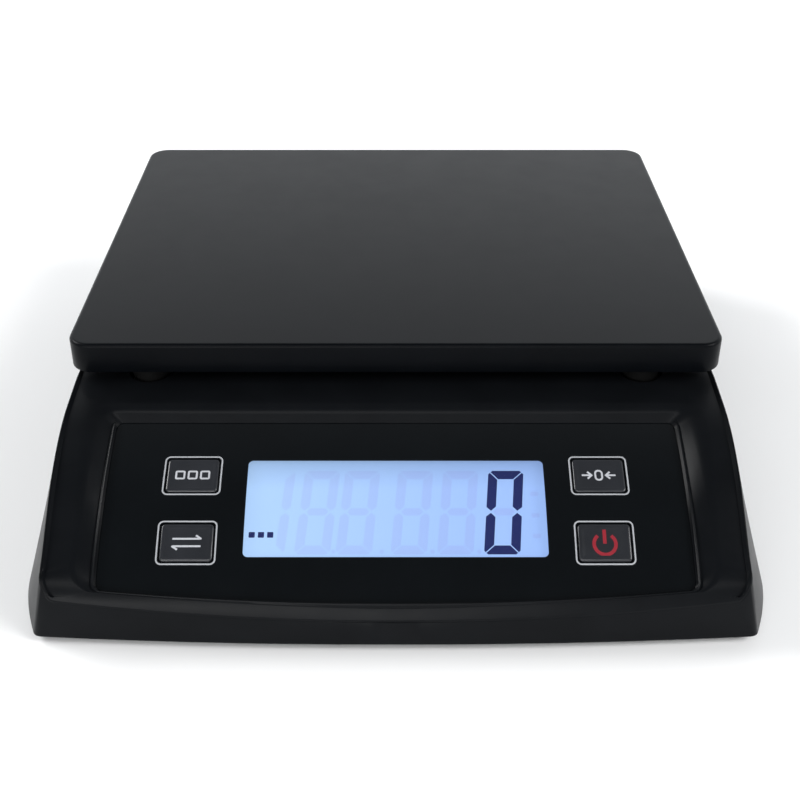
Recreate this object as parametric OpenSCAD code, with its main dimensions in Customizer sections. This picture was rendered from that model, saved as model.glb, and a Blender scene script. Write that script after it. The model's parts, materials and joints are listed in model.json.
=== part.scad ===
/* [Base] */
// Width of the base across its foot
base_w = 249; // [240:1:260]
// Depth of the base, front to back
base_d = 259; // [255:1:265]
// Height of the base's lower edge above the table
foot_gap = 2.5; // [2:0.1:3]
// Height of the deck under the platform
deck_z = 51.8; // [51:0.1:53]
// Wall thickness of the plastic shells
wall = 2.6; // [2:0.1:3]

/* [Platform] */
// Width of the weighing platform
platform_w = 227.4; // [220:0.1:230]
// Depth of the weighing platform
platform_d = 179.8; // [172:0.1:182]
// Height of the weighing surface above the table
platform_z = 67.5; // [66:0.1:70]
// Height of the platform's skirt
skirt_h = 11; // [9:0.5:12]
// Travel of the platform under full load
load_travel = 0.4; // [0.2:0.1:0.5]

/* [Control panel] */
// Slope of the panel in degrees
panel_tilt = 25.8; // [24:0.1:28]
// Width of the panel film
film_w = 190; // [186:1:194]
// Length of the panel film up its slope
film_l = 60.6; // [58:0.1:62]
// Rise of the curved film above its chord
film_crown = 3.1; // [2:0.1:4]
// Width of the display window
window_w = 98; // [94:1:100]
// Length of the display window up the slope
window_l = 34.7; // [32:0.1:36]
// Width of a key opening
key_w = 17.6; // [16:0.1:18]
// Length of a key opening up the slope
key_l = 13.1; // [12:0.1:14]
// Inward travel of a key
key_travel = 0.5; // [0.3:0.1:0.6]

/* [Load cell] */
// Length of the load cell
cell_l = 130; // [120:1:130]
// Width of the load cell
cell_w = 30; // [25:1:30]
// Height of the load cell
cell_h = 22; // [20:1:22]

/* [Power] */
// Diameter of an AA cell
aa_d = 14.2; // [14:0.1:14.5]
// Length of an AA cell body
aa_l = 49; // [48:0.5:50]

/* [Hidden] */
eps = 0.01;
far = 400;

// outline of the base
front_y = -base_d / 2;
back_y = base_d / 2;
front_bow = 3.5;
corner_x = 14;
corner_y = 34;
corner_back_r = 12;
corner_steps = 10;

// slope of the deck's front, in side view
deck_start_y = -47;
lead_y = -62;
lead_angle = 5;
roll_r = 78;
ramp_angle = 34;
ramp_end_y = -116;
nose_r = 43;
rail_x = 113;

// platform
platform_y0 = -51.9;
platform_y = platform_y0 + platform_d / 2;
platform_r = 8;
platform_wall = 2.4;
platform_top_t = 2.2;
platform_under_z = platform_z - platform_top_t;

// panel frame: its own x, its y up the slope and its z out of the panel
panel_y = -94.75;
panel_z = 32.2;
film_t = 0.4;
film_bond = 0.05;
film_steps = 24;
film_half = film_l / 2;
film_r = 2.2;
film_bulge = 3.9;
panel_floor_t = 2.4;
window_v = -2.35;
window_r = 1.6;
window_t = 1.2;
recess_gap = 0.4;
recess_flare = 8;
recess_lift = 3.9;
recess_lift_slope = 0.075;
recess_step = 0.3;

// electronics, in the panel frame
board_w = 186;
board_l = 54;
board_t = 1.6;
board_top = -9;
board_under = board_top - board_t;
board_hole_x = 88;
board_hole_v = 22;
board_screw_d = 2.5;
glass_w = 103;
glass_l = 38.5;
glass_t = 2.4;
glass_top = 0.1;
holder_wall = 1.1;
holder_gap = 0.15;
strip_w = 1.6;
light_t = 4;
switch_size = 6;
switch_h = 3.5;
button_d = 3.4;
button_h = 1;
key_x = 67.2;
key_gap = 0.25;
key_r = 1.2;
key_proud = 0.15;
key_rows = [9.1, -14.9];
flange_rim = 1;
flange_t = 1.2;
plunger_d = 5;

// load cell stack
tray_z = foot_gap + 1;
tray_t = 3;
tray_top = tray_z + tray_t;
tray_inset = 5.2;
tray_wall_inset = 9.5;
tray_wall_h = 7;
tray_rib_h = 2;
cell_plate_t = 4;
spacer_t = 2.5;
spacer_l = 30;
cell_z = tray_top + cell_plate_t + spacer_t;
cell_top = cell_z + cell_h;
cell_end_y = platform_y + cell_l / 2;
cell_start_y = platform_y - cell_l / 2;
cell_screw_d = 6;
cell_screw_inset = [8, 22];
support_z = cell_top + spacer_t;
support_t = 6;
post_x = 87;
post_front_y = -42.5;
post_back_y = 112;
post_d = 9;
post_hole_d = 16;
post_top = 60;
cap_d = 13;
cap_top = 62.3;
cap_low = 48;
socket_low = 59;
stop_gap = load_travel + 0.1;
stop_d = 5;
stop_boss_d = 13;
stop_boss_top = 30;
stop_x = 72;
stop_front_y = -30;
stop_back_y = 99;

// battery box
aa_pitch = 15;
aa_count = 4;
box_x0 = -97;
box_w = 61;
box_y0 = -18;
box_l = 56.5;
box_top = 20.6;
box_wall = 2;
door_t = 2;
door_rim = 2.2;
door_gap = 0.4;
hinge_d = 1.6;
hinge_y = box_y0 + box_l + door_rim - door_gap - 1;
hinge_z = tray_z + door_t / 2;
hinge_relief = 1.6;
aa_z = tray_z + door_t + 0.7 + aa_d / 2;
spring_room = 6.8;
spring_wire = 0.7;
plate_t = 0.4;

// feet, screws and inlet
foot_d = 22;
foot_x = 94;
foot_front_y = -103;
foot_back_y = 99;
foot_stem_d = 8;
screw_x = 106;
screw_ys = [-72, 26, 84];
screw_boss_d = 9;
screw_d = 3.5;
screw_head_d = 7;
jack_x = 62;
jack_z = 17;
jack_w = 11;
jack_h = 11;
jack_l = 13;
jack_face_d = 9;
jack_bore_d = 5.7;
jack_pin_d = 2;
wire_d = 1.5;

// height of the deck and its sloping front at a place y
lead_z = deck_z - (deck_start_y - lead_y) * tan(lead_angle);
roll_y = lead_y + roll_r * sin(lead_angle);
roll_z = lead_z - roll_r * cos(lead_angle);
ramp_y = roll_y - roll_r * sin(ramp_angle);
ramp_z = roll_z + roll_r * cos(ramp_angle);
ramp_end_z = ramp_z - (ramp_y - ramp_end_y) * tan(ramp_angle);
nose_y = ramp_end_y + nose_r * sin(ramp_angle);
nose_z = ramp_end_z - nose_r * cos(ramp_angle);
function arc_z(y, cy, cz, r) = cz + sqrt(r * r - (y - cy) * (y - cy));
function top_z(y) =
  y >= deck_start_y ? deck_z :
  y >= lead_y ? deck_z - (deck_start_y - y) * tan(lead_angle) :
  y >= ramp_y ? arc_z(y, roll_y, roll_z, roll_r) :
  y >= ramp_end_y ? ramp_z - (ramp_y - y) * tan(ramp_angle) :
  arc_z(y, nose_y, nose_z, nose_r);

// height of the film's outer face in the panel frame
function film_z(v) = film_crown * (1 - v * v / (film_half * film_half));

// plan outline of the base, drawn in by an inset
function half_outline(inset) = concat(
  [for (i = [0:corner_steps]) let(x = (base_w / 2 - corner_x) * i / corner_steps)
    [x, front_y + inset + front_bow * pow(x / (base_w / 2 - corner_x), 2)]],
  [for (i = [1:corner_steps]) let(a = 90 * i / corner_steps)
    [base_w / 2 - corner_x + (corner_x - inset) * sin(a),
      front_y + front_bow + corner_y - (corner_y - inset) * cos(a)]],
  [for (i = [0:corner_steps]) let(a = 90 * i / corner_steps, r = corner_back_r - inset)
    [base_w / 2 - corner_back_r + r * cos(a), back_y - corner_back_r + r * sin(a)]]);
function mirrored(points) = concat(points,
  [for (i = [len(points) - 1:-1:1]) [-points[i][0], points[i][1]]]);

// solid through a row of sections that all have the same number of points
module loft(sections) {
  n = len(sections[0]);
  m = len(sections);
  points = [for (s = sections) each s];
  sides = [for (i = [0:m - 2], j = [0:n - 1])
    [i * n + j, i * n + (j + 1) % n, (i + 1) * n + (j + 1) % n, (i + 1) * n + j]];
  triangles = [for (q = sides) each [[q[0], q[1], q[2]], [q[0], q[2], q[3]]]];
  caps = [[for (j = [n - 1:-1:0]) j], [for (j = [0:n - 1]) (m - 1) * n + j]];
  polyhedron(points = points, faces = concat(triangles, caps));
}

// flared body under the deck line, wider at its foot than at the platform
function body_section(y, inset) = let(
    z0 = foot_gap - (inset > 0 ? 1 : 0),
    z1 = top_z(max(y, front_y)) - inset,
    b = base_w / 2 - inset,
    a = rail_x - inset)
  [[b, y, z0], [a, y, z1], [-a, y, z1], [-b, y, z0]];
body_stations = concat([-128.9, -127, -125, -122.5, -119.5], [for (i = [0:12]) ramp_end_y
  + (deck_start_y - ramp_end_y) * i / 12], [back_y + 1]);
module body_shape(inset) {
  intersection() {
    loft([for (y = concat([front_y - 1], body_stations)) body_section(y, inset)]);
    linear_extrude(far / 2) polygon(mirrored(half_outline(inset)));
  }
}

module in_panel() {
  translate([0, panel_y, panel_z]) rotate([panel_tilt, 0, 0]) children();
}
// profile in the panel's y and z, drawn out along x
module across(width) {
  translate([-width / 2, 0, 0]) rotate([90, 0, 90]) linear_extrude(width) children();
}
module rounded(w, l, r) {
  square([w - 2 * r, l], center = true);
  square([w, l - 2 * r], center = true);
  for (sx = [-1, 1], sy = [-1, 1])
    translate([sx * (w / 2 - r), sy * (l / 2 - r)]) circle(r, $fn = 32);
}
// band that follows the film between two heights over its face
module film_band(v0, v1, low, high, width) {
  vs = [for (i = [0:film_steps]) v0 + (v1 - v0) * i / film_steps];
  across(width) polygon(concat([for (v = vs) [v, film_z(v) + low]],
    [for (i = [film_steps:-1:0]) [vs[i], film_z(vs[i]) + high]]));
}
module film_outline(grow) {
  rounded(film_w + 2 * grow, film_l + 2 * grow, film_r);
  half = film_w / 2 - 3 * film_r;
  polygon(concat([[half, 0], [-half, 0]],
    [for (i = [-8:8]) [half * i / 8, -film_half - grow - film_bulge * (1 - pow(i / 8, 2))]]));
}
module key_places() {
  for (sx = [-1, 1], v = key_rows)
    translate([sx * key_x, v, 0]) children();
}
// flared walls of the recess round the film; a drop and a margin make the tub that carries it
function flare_section(v, margin, drop) = let(
    low = film_z(v) - film_t - (drop > 0 ? drop : -recess_step),
    high = film_z(v) + recess_lift + recess_lift_slope * v + (drop > 0 ? 12 : 0),
    x0 = film_w / 2 + (drop > 0 ? margin : -1),
    x1 = x0 + recess_flare)
  [[x1, v * 1.13, high], [x0, v, low], [-x0, v, low], [-x1, v * 1.13, high]];
module flare(margin, drop) {
  reach = film_half + (drop > 0 ? margin : -1);
  loft([for (i = [12:-1:0]) flare_section(-reach + 2 * reach * i / 12, margin, drop)]);
}
// straight pocket that holds the film, open upwards
module pocket(margin, drop) {
  intersection() {
    film_band(-film_half - film_bulge - 6, film_half + 6, -film_t - film_bond - drop, 8, film_w + 8);
    linear_extrude(far, center = true) film_outline(recess_gap + margin);
  }
}

module screw(d, head_d, head_h, length) {
  difference() {
    cylinder(d = head_d, h = head_h, $fn = 40);
    translate([0, 0, -eps]) cross_slot(head_d * 0.6, head_h * 0.5);
  }
  translate([0, 0, head_h]) cylinder(d = d, h = length, $fn = 32);
}
module cross_slot(size, depth) {
  for (a = [0, 90])
    rotate([0, 0, a]) translate([-size / 2, -size / 8, 0]) cube([size, size / 4, depth]);
}
module housing_screw_places() {
  for (sx = [-1, 1], y = screw_ys) translate([sx * screw_x, y, 0]) children();
}
module foot_places() {
  for (sx = [-1, 1], y = [foot_front_y, foot_back_y]) translate([sx * foot_x, y, 0]) children();
}
module post_places() {
  for (sx = [-1, 1], y = [post_front_y, post_back_y]) translate([sx * post_x, y, 0]) children();
}
module stop_places() {
  for (sx = [-1, 1], y = [stop_front_y, stop_back_y]) translate([sx * stop_x, y, 0]) children();
}
// smooth curve through its points
function between(a, b, c, d, t) = 0.5 * (2 * b + (c - a) * t + (2 * a - 5 * b + 4 * c - d) * t * t
  + (3 * b - a - 3 * c + d) * t * t * t);
function smooth(p, steps) = concat([for (i = [0:len(p) - 2], k = [0:steps - 1])
  between(p[max(i - 1, 0)], p[i], p[i + 1], p[min(i + 2, len(p) - 1)], k / steps)],
  [p[len(p) - 1]]);
function unit_of(v) = v / norm(v);
// round section square to a curve at its point i
function ring(p, i, r, sides) = let(
    t = unit_of(p[min(i + 1, len(p) - 1)] - p[max(i - 1, 0)]),
    u = unit_of(cross(t, abs(t[2]) > 0.9 ? [1, 0, 0] : [0, 0, 1])),
    v = cross(u, t))
  [for (k = [0:sides - 1]) p[i] + r * (u * cos(360 * k / sides) + v * sin(360 * k / sides))];
module tube(p, d, sides) {
  loft([for (i = [0:len(p) - 1]) ring(p, i, d / 2, sides)]);
}
module wire(points, d) {
  tube(smooth(points, 4), d, 8);
}

module base_tray() {
  color("#1c1d20")
  difference() {
    union() {
      translate([0, 0, tray_z]) linear_extrude(tray_t) polygon(mirrored(half_outline(tray_inset)));
      translate([0, 0, tray_z]) difference() {
        linear_extrude(tray_t + tray_wall_h) polygon(mirrored(half_outline(tray_wall_inset)));
        translate([0, 0, tray_t - eps]) linear_extrude(far)
          polygon(mirrored(half_outline(tray_wall_inset + 2)));
      }
      translate([box_x0 - box_wall, box_y0 - box_wall, tray_z])
        cube([box_w + 2 * box_wall, box_l + 2 * box_wall, box_top + box_wall - tray_z]);
      stop_places() translate([0, 0, tray_z]) cylinder(d = stop_boss_d, h = stop_boss_top - tray_z);
      for (y = [-60, 118])
        translate([-100, y, tray_z]) cube([200, 2, tray_t + tray_rib_h]);
      foot_places() translate([0, 0, tray_z]) cylinder(d = foot_stem_d + 6, h = tray_t + 2);
    }
    translate([box_x0, box_y0, tray_z - 1]) cube([box_w, box_l, box_top - tray_z + 1]);
    translate([box_x0 - door_rim, box_y0 - door_rim, tray_z - 1])
      cube([box_w + 2 * door_rim, box_l + 2 * door_rim, door_t + 1.2]);
    translate([box_x0 - door_rim, hinge_y - 2, tray_z - 1])
      cube([box_w + 2 * door_rim, 2 + hinge_relief, door_t + 1.6]);
    for (x = [box_x0 - door_rim - 2, box_x0 + box_w + door_rim - eps])
      translate([x, hinge_y, hinge_z]) rotate([0, 90, 0])
        cylinder(d = hinge_d + 0.1, h = 2, $fn = 32);
    stop_places() translate([0, 0, tray_z - 1]) cylinder(d = stop_d + 0.1, h = far, $fn = 32);
    foot_places() translate([0, 0, tray_z - 1]) cylinder(d = foot_stem_d, h = far, $fn = 32);
    housing_screw_places() translate([0, 0, tray_z - 1]) cylinder(d = screw_d + 0.5, h = far);
    housing_screw_places() translate([0, 0, tray_z - 1]) cylinder(d = screw_head_d + 0.6, h = 2.6);
    for (inset = cell_screw_inset) translate([0, cell_end_y - inset, tray_z - 1]) {
      cylinder(d = cell_screw_d + 0.4, h = far);
      cylinder(d = 11, h = 2.6);
    }
    translate([jack_x - 9, back_y - tray_wall_inset - 3, tray_top]) cube([18, 6, far]);
    for (i = [0:5]) translate([-40 + 16 * i, -96, tray_z - 1]) cube([2.4, 26, far]);
  }
}

module upper_housing() {
  color("#202226")
  difference() {
    union() {
      difference() {
        body_shape(0);
        body_shape(wall);
        translate([0, 0, foot_gap - 1]) linear_extrude(1 + eps) square(far, center = true);
      }
      intersection() {
        body_shape(0.5);
        in_panel() {
          flare(2, panel_floor_t);
          pocket(2, panel_floor_t + recess_step);
          for (sx = [-1, 1], sy = [-1, 1])
            translate([sx * board_hole_x, sy * board_hole_v, board_top]) cylinder(d = 6.5, h = 12);
        }
      }
      intersection() {
        body_shape(0.5);
        housing_screw_places() translate([0, 0, tray_top]) cylinder(d = screw_boss_d, h = far / 4);
      }
      intersection() {
        body_shape(0.5);
        translate([jack_x - 8.5, back_y - 6.2, tray_top + 0.3])
          cube([17, 6, jack_z + 8 - tray_top]);
      }
    }
    in_panel() {
      flare(0, 0);
      pocket(0, 0);
      translate([0, window_v, -8]) linear_extrude(20) rounded(106, 41.4, 1);
      key_places() translate([0, 0, -8]) linear_extrude(20) rounded(key_w, key_l, key_r);
      for (sx = [-1, 1], sy = [-1, 1])
        translate([sx * board_hole_x, sy * board_hole_v, board_top - 1])
          cylinder(d = board_screw_d, h = 8, $fn = 32);
    }
    post_places() translate([0, 0, deck_z - 10]) cylinder(d = post_hole_d, h = 20);
    housing_screw_places() translate([0, 0, tray_top - 1]) cylinder(d = screw_d, h = 14);
    translate([jack_x, back_y + 1, jack_z]) rotate([90, 0, 0]) cylinder(d = jack_face_d + 0.3, h = 12);
    translate([jack_x - jack_w / 2 - 0.1, back_y - 12, jack_z - jack_h / 2 - 0.1])
      cube([jack_w + 0.2, 12 - 2.5, jack_h + 0.2]);
  }
}

module panel_film() {
  color("#101114")
  in_panel() difference() {
    intersection() {
      film_band(-film_half - film_bulge, film_half, -film_t, 0, film_w);
      linear_extrude(far, center = true) film_outline(0);
    }
    translate([0, window_v, -8]) linear_extrude(20) rounded(window_w, window_l, window_r);
    key_places() translate([0, 0, -8]) linear_extrude(20) rounded(key_w, key_l, key_r);
  }
}

module lcd_window() {
  color("#9cc0ff")
  in_panel() intersection() {
    film_band(window_v - window_l / 2 - 1, window_v + window_l / 2 + 1, -window_t, 0, window_w);
    translate([0, window_v, -8]) linear_extrude(20)
      rounded(window_w - 0.1, window_l - 0.1, window_r);
  }
}

module lcd_glass() {
  color("#a9c4f5")
  in_panel() translate([-glass_w / 2, window_v - glass_l / 2, glass_top - glass_t])
    cube([glass_w, glass_l, glass_t]);
}

holder_w = glass_w + 2 * (holder_wall + holder_gap);
holder_l = glass_l + 2 * (holder_wall + holder_gap);
module lcd_holder() {
  color("#e8e8e4")
  in_panel() translate([0, window_v, 0]) difference() {
    translate([-holder_w / 2, -holder_l / 2, board_top])
      cube([holder_w, holder_l, glass_top - board_top]);
    translate([-glass_w / 2 - holder_gap, -glass_l / 2 - holder_gap, glass_top - glass_t])
      cube([glass_w + 2 * holder_gap, glass_l + 2 * holder_gap, far]);
    translate([-glass_w / 2 + 1, -glass_l / 2 + 1, board_top - 1])
      cube([glass_w - 2, glass_l - 2, far]);
  }
}

module backlight_panel() {
  color("#dfe9ff")
  in_panel() translate([-glass_w / 2 + 3, window_v - glass_l / 2 + 4, glass_top - glass_t - light_t - 0.1])
    cube([glass_w - 6, glass_l - 8, light_t]);
}

module lcd_connectors() {
  color("#c9798a")
  for (sy = [-1, 1]) in_panel()
    translate([-glass_w / 2 + 4, window_v + sy * (glass_l / 2 - 2.1) - strip_w / 2, board_top])
      cube([glass_w - 8, strip_w, glass_top - glass_t - board_top]);
}

module main_board() {
  color("#2c6b3f")
  in_panel() difference() {
    translate([-board_w / 2, -board_l / 2, board_under]) cube([board_w, board_l, board_t]);
    for (sx = [-1, 1], sy = [-1, 1])
      translate([sx * board_hole_x, sy * board_hole_v, board_under - 1])
        cylinder(d = board_screw_d + 0.3, h = board_t + 2, $fn = 32);
  }
}

module under_board(x, v, h) {
  in_panel() translate([x, v, board_under - h]) children();
}
module chip(x, v, size, h) {
  under_board(x, v, h) translate([-size / 2, -size / 2, 0]) cube([size, size, h]);
  for (a = [0:90:270], i = [-3:3]) under_board(x, v, 0.5) rotate([0, 0, a])
    translate([size / 2, i * size / 8 - size / 50, 0]) cube([1.2, size / 25, 0.5]);
}
module board_chips() {
  color("#26272b") {
    chip(-22, 4, 12, 1.4);
    chip(14, -6, 10, 1.4);
    chip(40, 10, 7, 1.2);
  }
}

module board_shield() {
  color("#b9bcc0")
  under_board(-60, -4, 4) difference() {
    translate([-13, -10, 0]) cube([26, 20, 4]);
    translate([-12.6, -9.6, 0.4]) cube([25.2, 19.2, 4]);
  }
}

module board_capacitors() {
  color("#2b3350")
  for (x = [58, 67]) under_board(x, -12, 8) cylinder(d = 6.3, h = 8, $fn = 32);
}

module board_sockets() {
  color("#ebe6d8")
  for (x = [-44, 26, 74]) under_board(x, 20, 6) translate([-5, -3, 0]) difference() {
    cube([10, 6, 6]);
    translate([1, 1, -eps]) cube([8, 4, 4.5]);
  }
}

module buzzer() {
  color("#161616")
  under_board(50, -15.5, 7) difference() {
    translate([-8, 0, 0]) cylinder(d = 10, h = 7, $fn = 40);
    translate([-8, 0, -eps]) cylinder(d = 2, h = 1.5, $fn = 24);
  }
}

module board_screws() {
  color("#aeb2b6")
  for (sx = [-1, 1], sy = [-1, 1]) in_panel()
    translate([sx * board_hole_x, sy * board_hole_v, board_under - 1.8])
      screw(board_screw_d - 0.1, 5, 1.8, 6.5);
}

module key_switches() {
  color("#3a3a3d")
  in_panel() key_places() difference() {
    translate([-switch_size / 2, -switch_size / 2, board_top])
      cube([switch_size, switch_size, switch_h]);
    translate([0, 0, board_top + switch_h - key_travel - 0.6])
      cylinder(d = button_d + 0.15, h = 2, $fn = 32);
  }
}

button_top = board_top + switch_h + button_h;
function flange_top(v) = film_z(abs(v) + key_l / 2 + flange_rim) - film_t - film_bond
  - panel_floor_t - recess_step - 0.2;
// tilt of the film at a place v, against the panel's chord
function film_slope(v) = atan(-2 * film_crown * v / (film_half * film_half));

module key_cap(side, row) {
  v = key_rows[row];
  top = film_z(v) + key_proud;
  in_panel() translate([side * key_x, v, 0]) {
    difference() {
      translate([0, 0, flange_top(v)]) linear_extrude(top + 3 - flange_top(v))
        rounded(key_w - 2 * key_gap, key_l - 2 * key_gap, key_r - 0.2);
      translate([0, 0, top]) rotate([film_slope(v), 0, 0]) translate([-15, -15, 0])
        cube([30, 30, 10]);
    }
    translate([0, 0, flange_top(v) - flange_t]) linear_extrude(flange_t)
      rounded(key_w + 2 * flange_rim, key_l + 2 * flange_rim, key_r);
    translate([0, 0, button_top]) cylinder(d = plunger_d, h = flange_top(v) - 0.5 - button_top);
  }
}
module switch_button(side, row) {
  in_panel() translate([side * key_x, key_rows[row], button_top - button_h - 0.5])
    cylinder(d = button_d, h = button_h + 0.5, $fn = 32);
}
module count_key() {
  color("#3b3d42") key_cap(-1, 0);
}
module unit_key() {
  color("#3b3d42") key_cap(-1, 1);
}
module tare_key() {
  color("#3b3d42") key_cap(1, 0);
}
module power_key() {
  color("#3b3d42") key_cap(1, 1);
}
module count_button() {
  color("#1a1a1a") switch_button(-1, 0);
}
module unit_button() {
  color("#1a1a1a") switch_button(-1, 1);
}
module tare_button() {
  color("#1a1a1a") switch_button(1, 0);
}
module power_button() {
  color("#1a1a1a") switch_button(1, 1);
}

module load_cell() {
  color("#c3c7cb")
  difference() {
    translate([-cell_w / 2, cell_start_y, cell_z]) cube([cell_w, cell_l, cell_h]);
    for (sy = [-1, 1]) translate([-cell_w / 2 - 1, platform_y + sy * 13, cell_z + cell_h / 2])
      rotate([0, 90, 0]) cylinder(d = 15, h = cell_w + 2, $fn = 48);
    translate([-cell_w / 2 - 1, platform_y - 13, cell_z + cell_h / 2 - 3.5])
      cube([cell_w + 2, 26, 7]);
    for (inset = cell_screw_inset) {
      translate([0, cell_end_y - inset, cell_z - 1]) cylinder(d = cell_screw_d, h = 16);
      translate([0, cell_start_y + inset, cell_top - 14]) cylinder(d = cell_screw_d, h = 16);
    }
  }
}

module gauge_seal() {
  color("#e9e7e0")
  translate([-10, platform_y - 20, cell_top]) cube([20, 40, 1.2]);
}

module cell_plate() {
  color("#8d9094")
  difference() {
    translate([-30, cell_start_y - 2, tray_top]) cube([60, cell_l + 6, cell_plate_t]);
    for (inset = cell_screw_inset) translate([0, cell_end_y - inset, 0])
      cylinder(d = cell_screw_d + 0.4, h = far);
  }
}

module cell_lower_spacer() {
  color("#9a9da1")
  difference() {
    translate([-cell_w / 2, cell_end_y - spacer_l, tray_top + cell_plate_t])
      cube([cell_w, spacer_l, spacer_t]);
    for (inset = cell_screw_inset) translate([0, cell_end_y - inset, 0])
      cylinder(d = cell_screw_d + 0.4, h = far);
  }
}

module cell_lower_screws() {
  color("#6c6f73")
  for (inset = cell_screw_inset) translate([0, cell_end_y - inset, tray_z - 0.4]) {
    difference() {
      cylinder(d = 10, h = 2);
      translate([0, 0, -eps]) cylinder(d = 4.6, h = 1.2, $fn = 6);
    }
    cylinder(d = cell_screw_d - 0.1, h = cell_z + 10 - tray_z);
  }
}

module cell_upper_spacer() {
  color("#9a9da1")
  difference() {
    translate([-cell_w / 2, cell_start_y, cell_top]) cube([cell_w, spacer_l, spacer_t]);
    for (inset = cell_screw_inset) translate([0, cell_start_y + inset, 0])
      cylinder(d = cell_screw_d + 0.4, h = far);
  }
}

module cell_upper_screws() {
  color("#6c6f73")
  for (inset = cell_screw_inset) translate([0, cell_start_y + inset, 0]) {
    translate([0, 0, cell_top - 10]) cylinder(d = cell_screw_d - 0.1, h = support_z + support_t - cell_top + 10);
    translate([0, 0, support_z + support_t]) difference() {
      cylinder(d = 10, h = 4);
      translate([0, 0, 2]) cylinder(d = 5, h = 4, $fn = 6);
    }
  }
}

support_rib_h = 4;
module platform_support() {
  color("#b4b7bb")
  difference() {
    union() {
      translate([-25, cell_start_y - 5, support_z]) cube([50, cell_l + 10, support_t]);
      for (y = [stop_front_y, stop_back_y]) translate([-post_x - 7, y - 13, support_z])
        cube([2 * post_x + 14, 26, support_t]);
      for (sx = [-1, 1], y = [stop_front_y, stop_back_y])
        translate([sx * (post_x - 30) - 32, y - 1.5, support_z + support_t - eps])
          cube([64, 3, support_rib_h]);
      post_places() translate([0, 0, support_z]) cylinder(d = post_d + 5, h = support_t + 3);
      post_places() translate([0, 0, support_z]) cylinder(d = post_d, h = post_top - support_z);
    }
    for (inset = cell_screw_inset) translate([0, cell_start_y + inset, 0])
      cylinder(d = cell_screw_d + 0.4, h = far);
    translate([-14, platform_y - 24, support_z - 1]) cube([28, 76, far]);
  }
}

module support_caps() {
  color("#18191b")
  post_places() difference() {
    translate([0, 0, cap_low]) cylinder(d = cap_d, h = cap_top - cap_low);
    translate([0, 0, cap_low - 1]) cylinder(d = post_d, h = post_top - cap_low + 1);
  }
}

stop_top = support_z - stop_gap;
module stop_screws() {
  color("#85888c")
  stop_places() translate([0, 0, tray_z + 1]) difference() {
    cylinder(d = stop_d, h = stop_top - tray_z - 1, $fn = 32);
    translate([0, 0, -eps]) cylinder(d = 2.9, h = 3, $fn = 6);
  }
}

module stop_nuts() {
  color("#a5a8ac")
  stop_places() translate([0, 0, stop_boss_top]) difference() {
    cylinder(d = 9.2, h = 4, $fn = 6);
    translate([0, 0, -1]) cylinder(d = stop_d + 0.1, h = 6, $fn = 32);
  }
}

module weighing_platform() {
  color("#3f4146")
  difference() {
    union() {
      translate([0, platform_y, 0]) {
        difference() {
          translate([0, 0, platform_z - skirt_h]) linear_extrude(skirt_h)
            rounded(platform_w, platform_d, platform_r);
          translate([0, 0, platform_z - skirt_h - 1]) linear_extrude(skirt_h + 1 - platform_top_t)
            rounded(platform_w - 2 * platform_wall, platform_d - 2 * platform_wall,
              platform_r - platform_wall);
        }
        for (x = [-60:30:60]) translate([x - 1, -platform_d / 2 + 1, platform_under_z - 3])
          cube([2, platform_d - 2, 3 + eps]);
        for (y = [-55, -20, 20, 55])
          translate([-platform_w / 2 + 1, y - 1, platform_under_z - 3])
            cube([platform_w - 2, 2, 3 + eps]);
      }
      post_places() translate([0, 0, socket_low])
        cylinder(d = cap_d + 2.6, h = platform_under_z - socket_low + eps);
    }
    post_places() translate([0, 0, platform_z - skirt_h - 1])
      cylinder(d = cap_d + 0.6, h = cap_top - platform_z + skirt_h + 1);
  }
}

module battery_door() {
  color("#1c1d20") {
    x0 = box_x0 - door_rim + door_gap;
    w = box_w + 2 * (door_rim - door_gap);
    y0 = box_y0 - door_rim + door_gap;
    l = box_l + 2 * (door_rim - door_gap);
    difference() {
      translate([x0, y0, tray_z]) cube([w, l, door_t]);
      for (i = [0:4]) translate([x0 + w / 2 - 12, y0 + 4 + 2 * i, tray_z - eps])
        cube([24, 0.9, 0.6]);
    }
    for (x = [x0 - 1.6, x0 + w - 1]) translate([x, hinge_y, hinge_z]) rotate([0, 90, 0])
      cylinder(d = hinge_d, h = 2.6, $fn = 32);
  }
}

// each cell is pushed towards its flat contact, away from its spring
function aa_start(i) = box_y0 + (i % 2 ? box_l - aa_l - spring_room : spring_room);
module batteries() {
  color("#9a9c9f")
  for (i = [0:aa_count - 1]) translate([box_x0 + 8 + aa_pitch * i, aa_start(i), aa_z])
    rotate([-90, 0, 0]) {
      flip = i % 2;
      translate([0, 0, flip * 1]) cylinder(d = aa_d, h = aa_l - 1);
      translate([0, 0, flip ? 0 : aa_l - 1]) cylinder(d = 5.4, h = 1);
    }
}

spring_turns = 4;
spring_l = spring_room - plate_t - 0.5 - spring_wire / 2;
module battery_springs() {
  color("#c8cacd")
  for (i = [0:aa_count - 1]) {
    flip = i % 2;
    y = aa_start(i) + flip * aa_l;
    steps = 10 * spring_turns;
    translate([box_x0 + 8 + aa_pitch * i, y, aa_z]) rotate([flip ? -90 : 90, 0, 0])
      tube([for (k = [0:steps]) let(a = 360 * spring_turns * k / steps, r = 2.6 + 2 * k / steps)
        [r * cos(a), r * sin(a), 0.4 + (spring_l - 0.4) * k / steps]], spring_wire, 6);
  }
}

module battery_plates() {
  color("#c8cacd")
  for (i = [0:aa_count - 1], side = [0, 1])
    translate([box_x0 + 2 + aa_pitch * i, side ? box_y0 + box_l - plate_t - 0.05 : box_y0 + 0.05, aa_z - 5.5])
      cube([12, plate_t, 11]);
}

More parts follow.
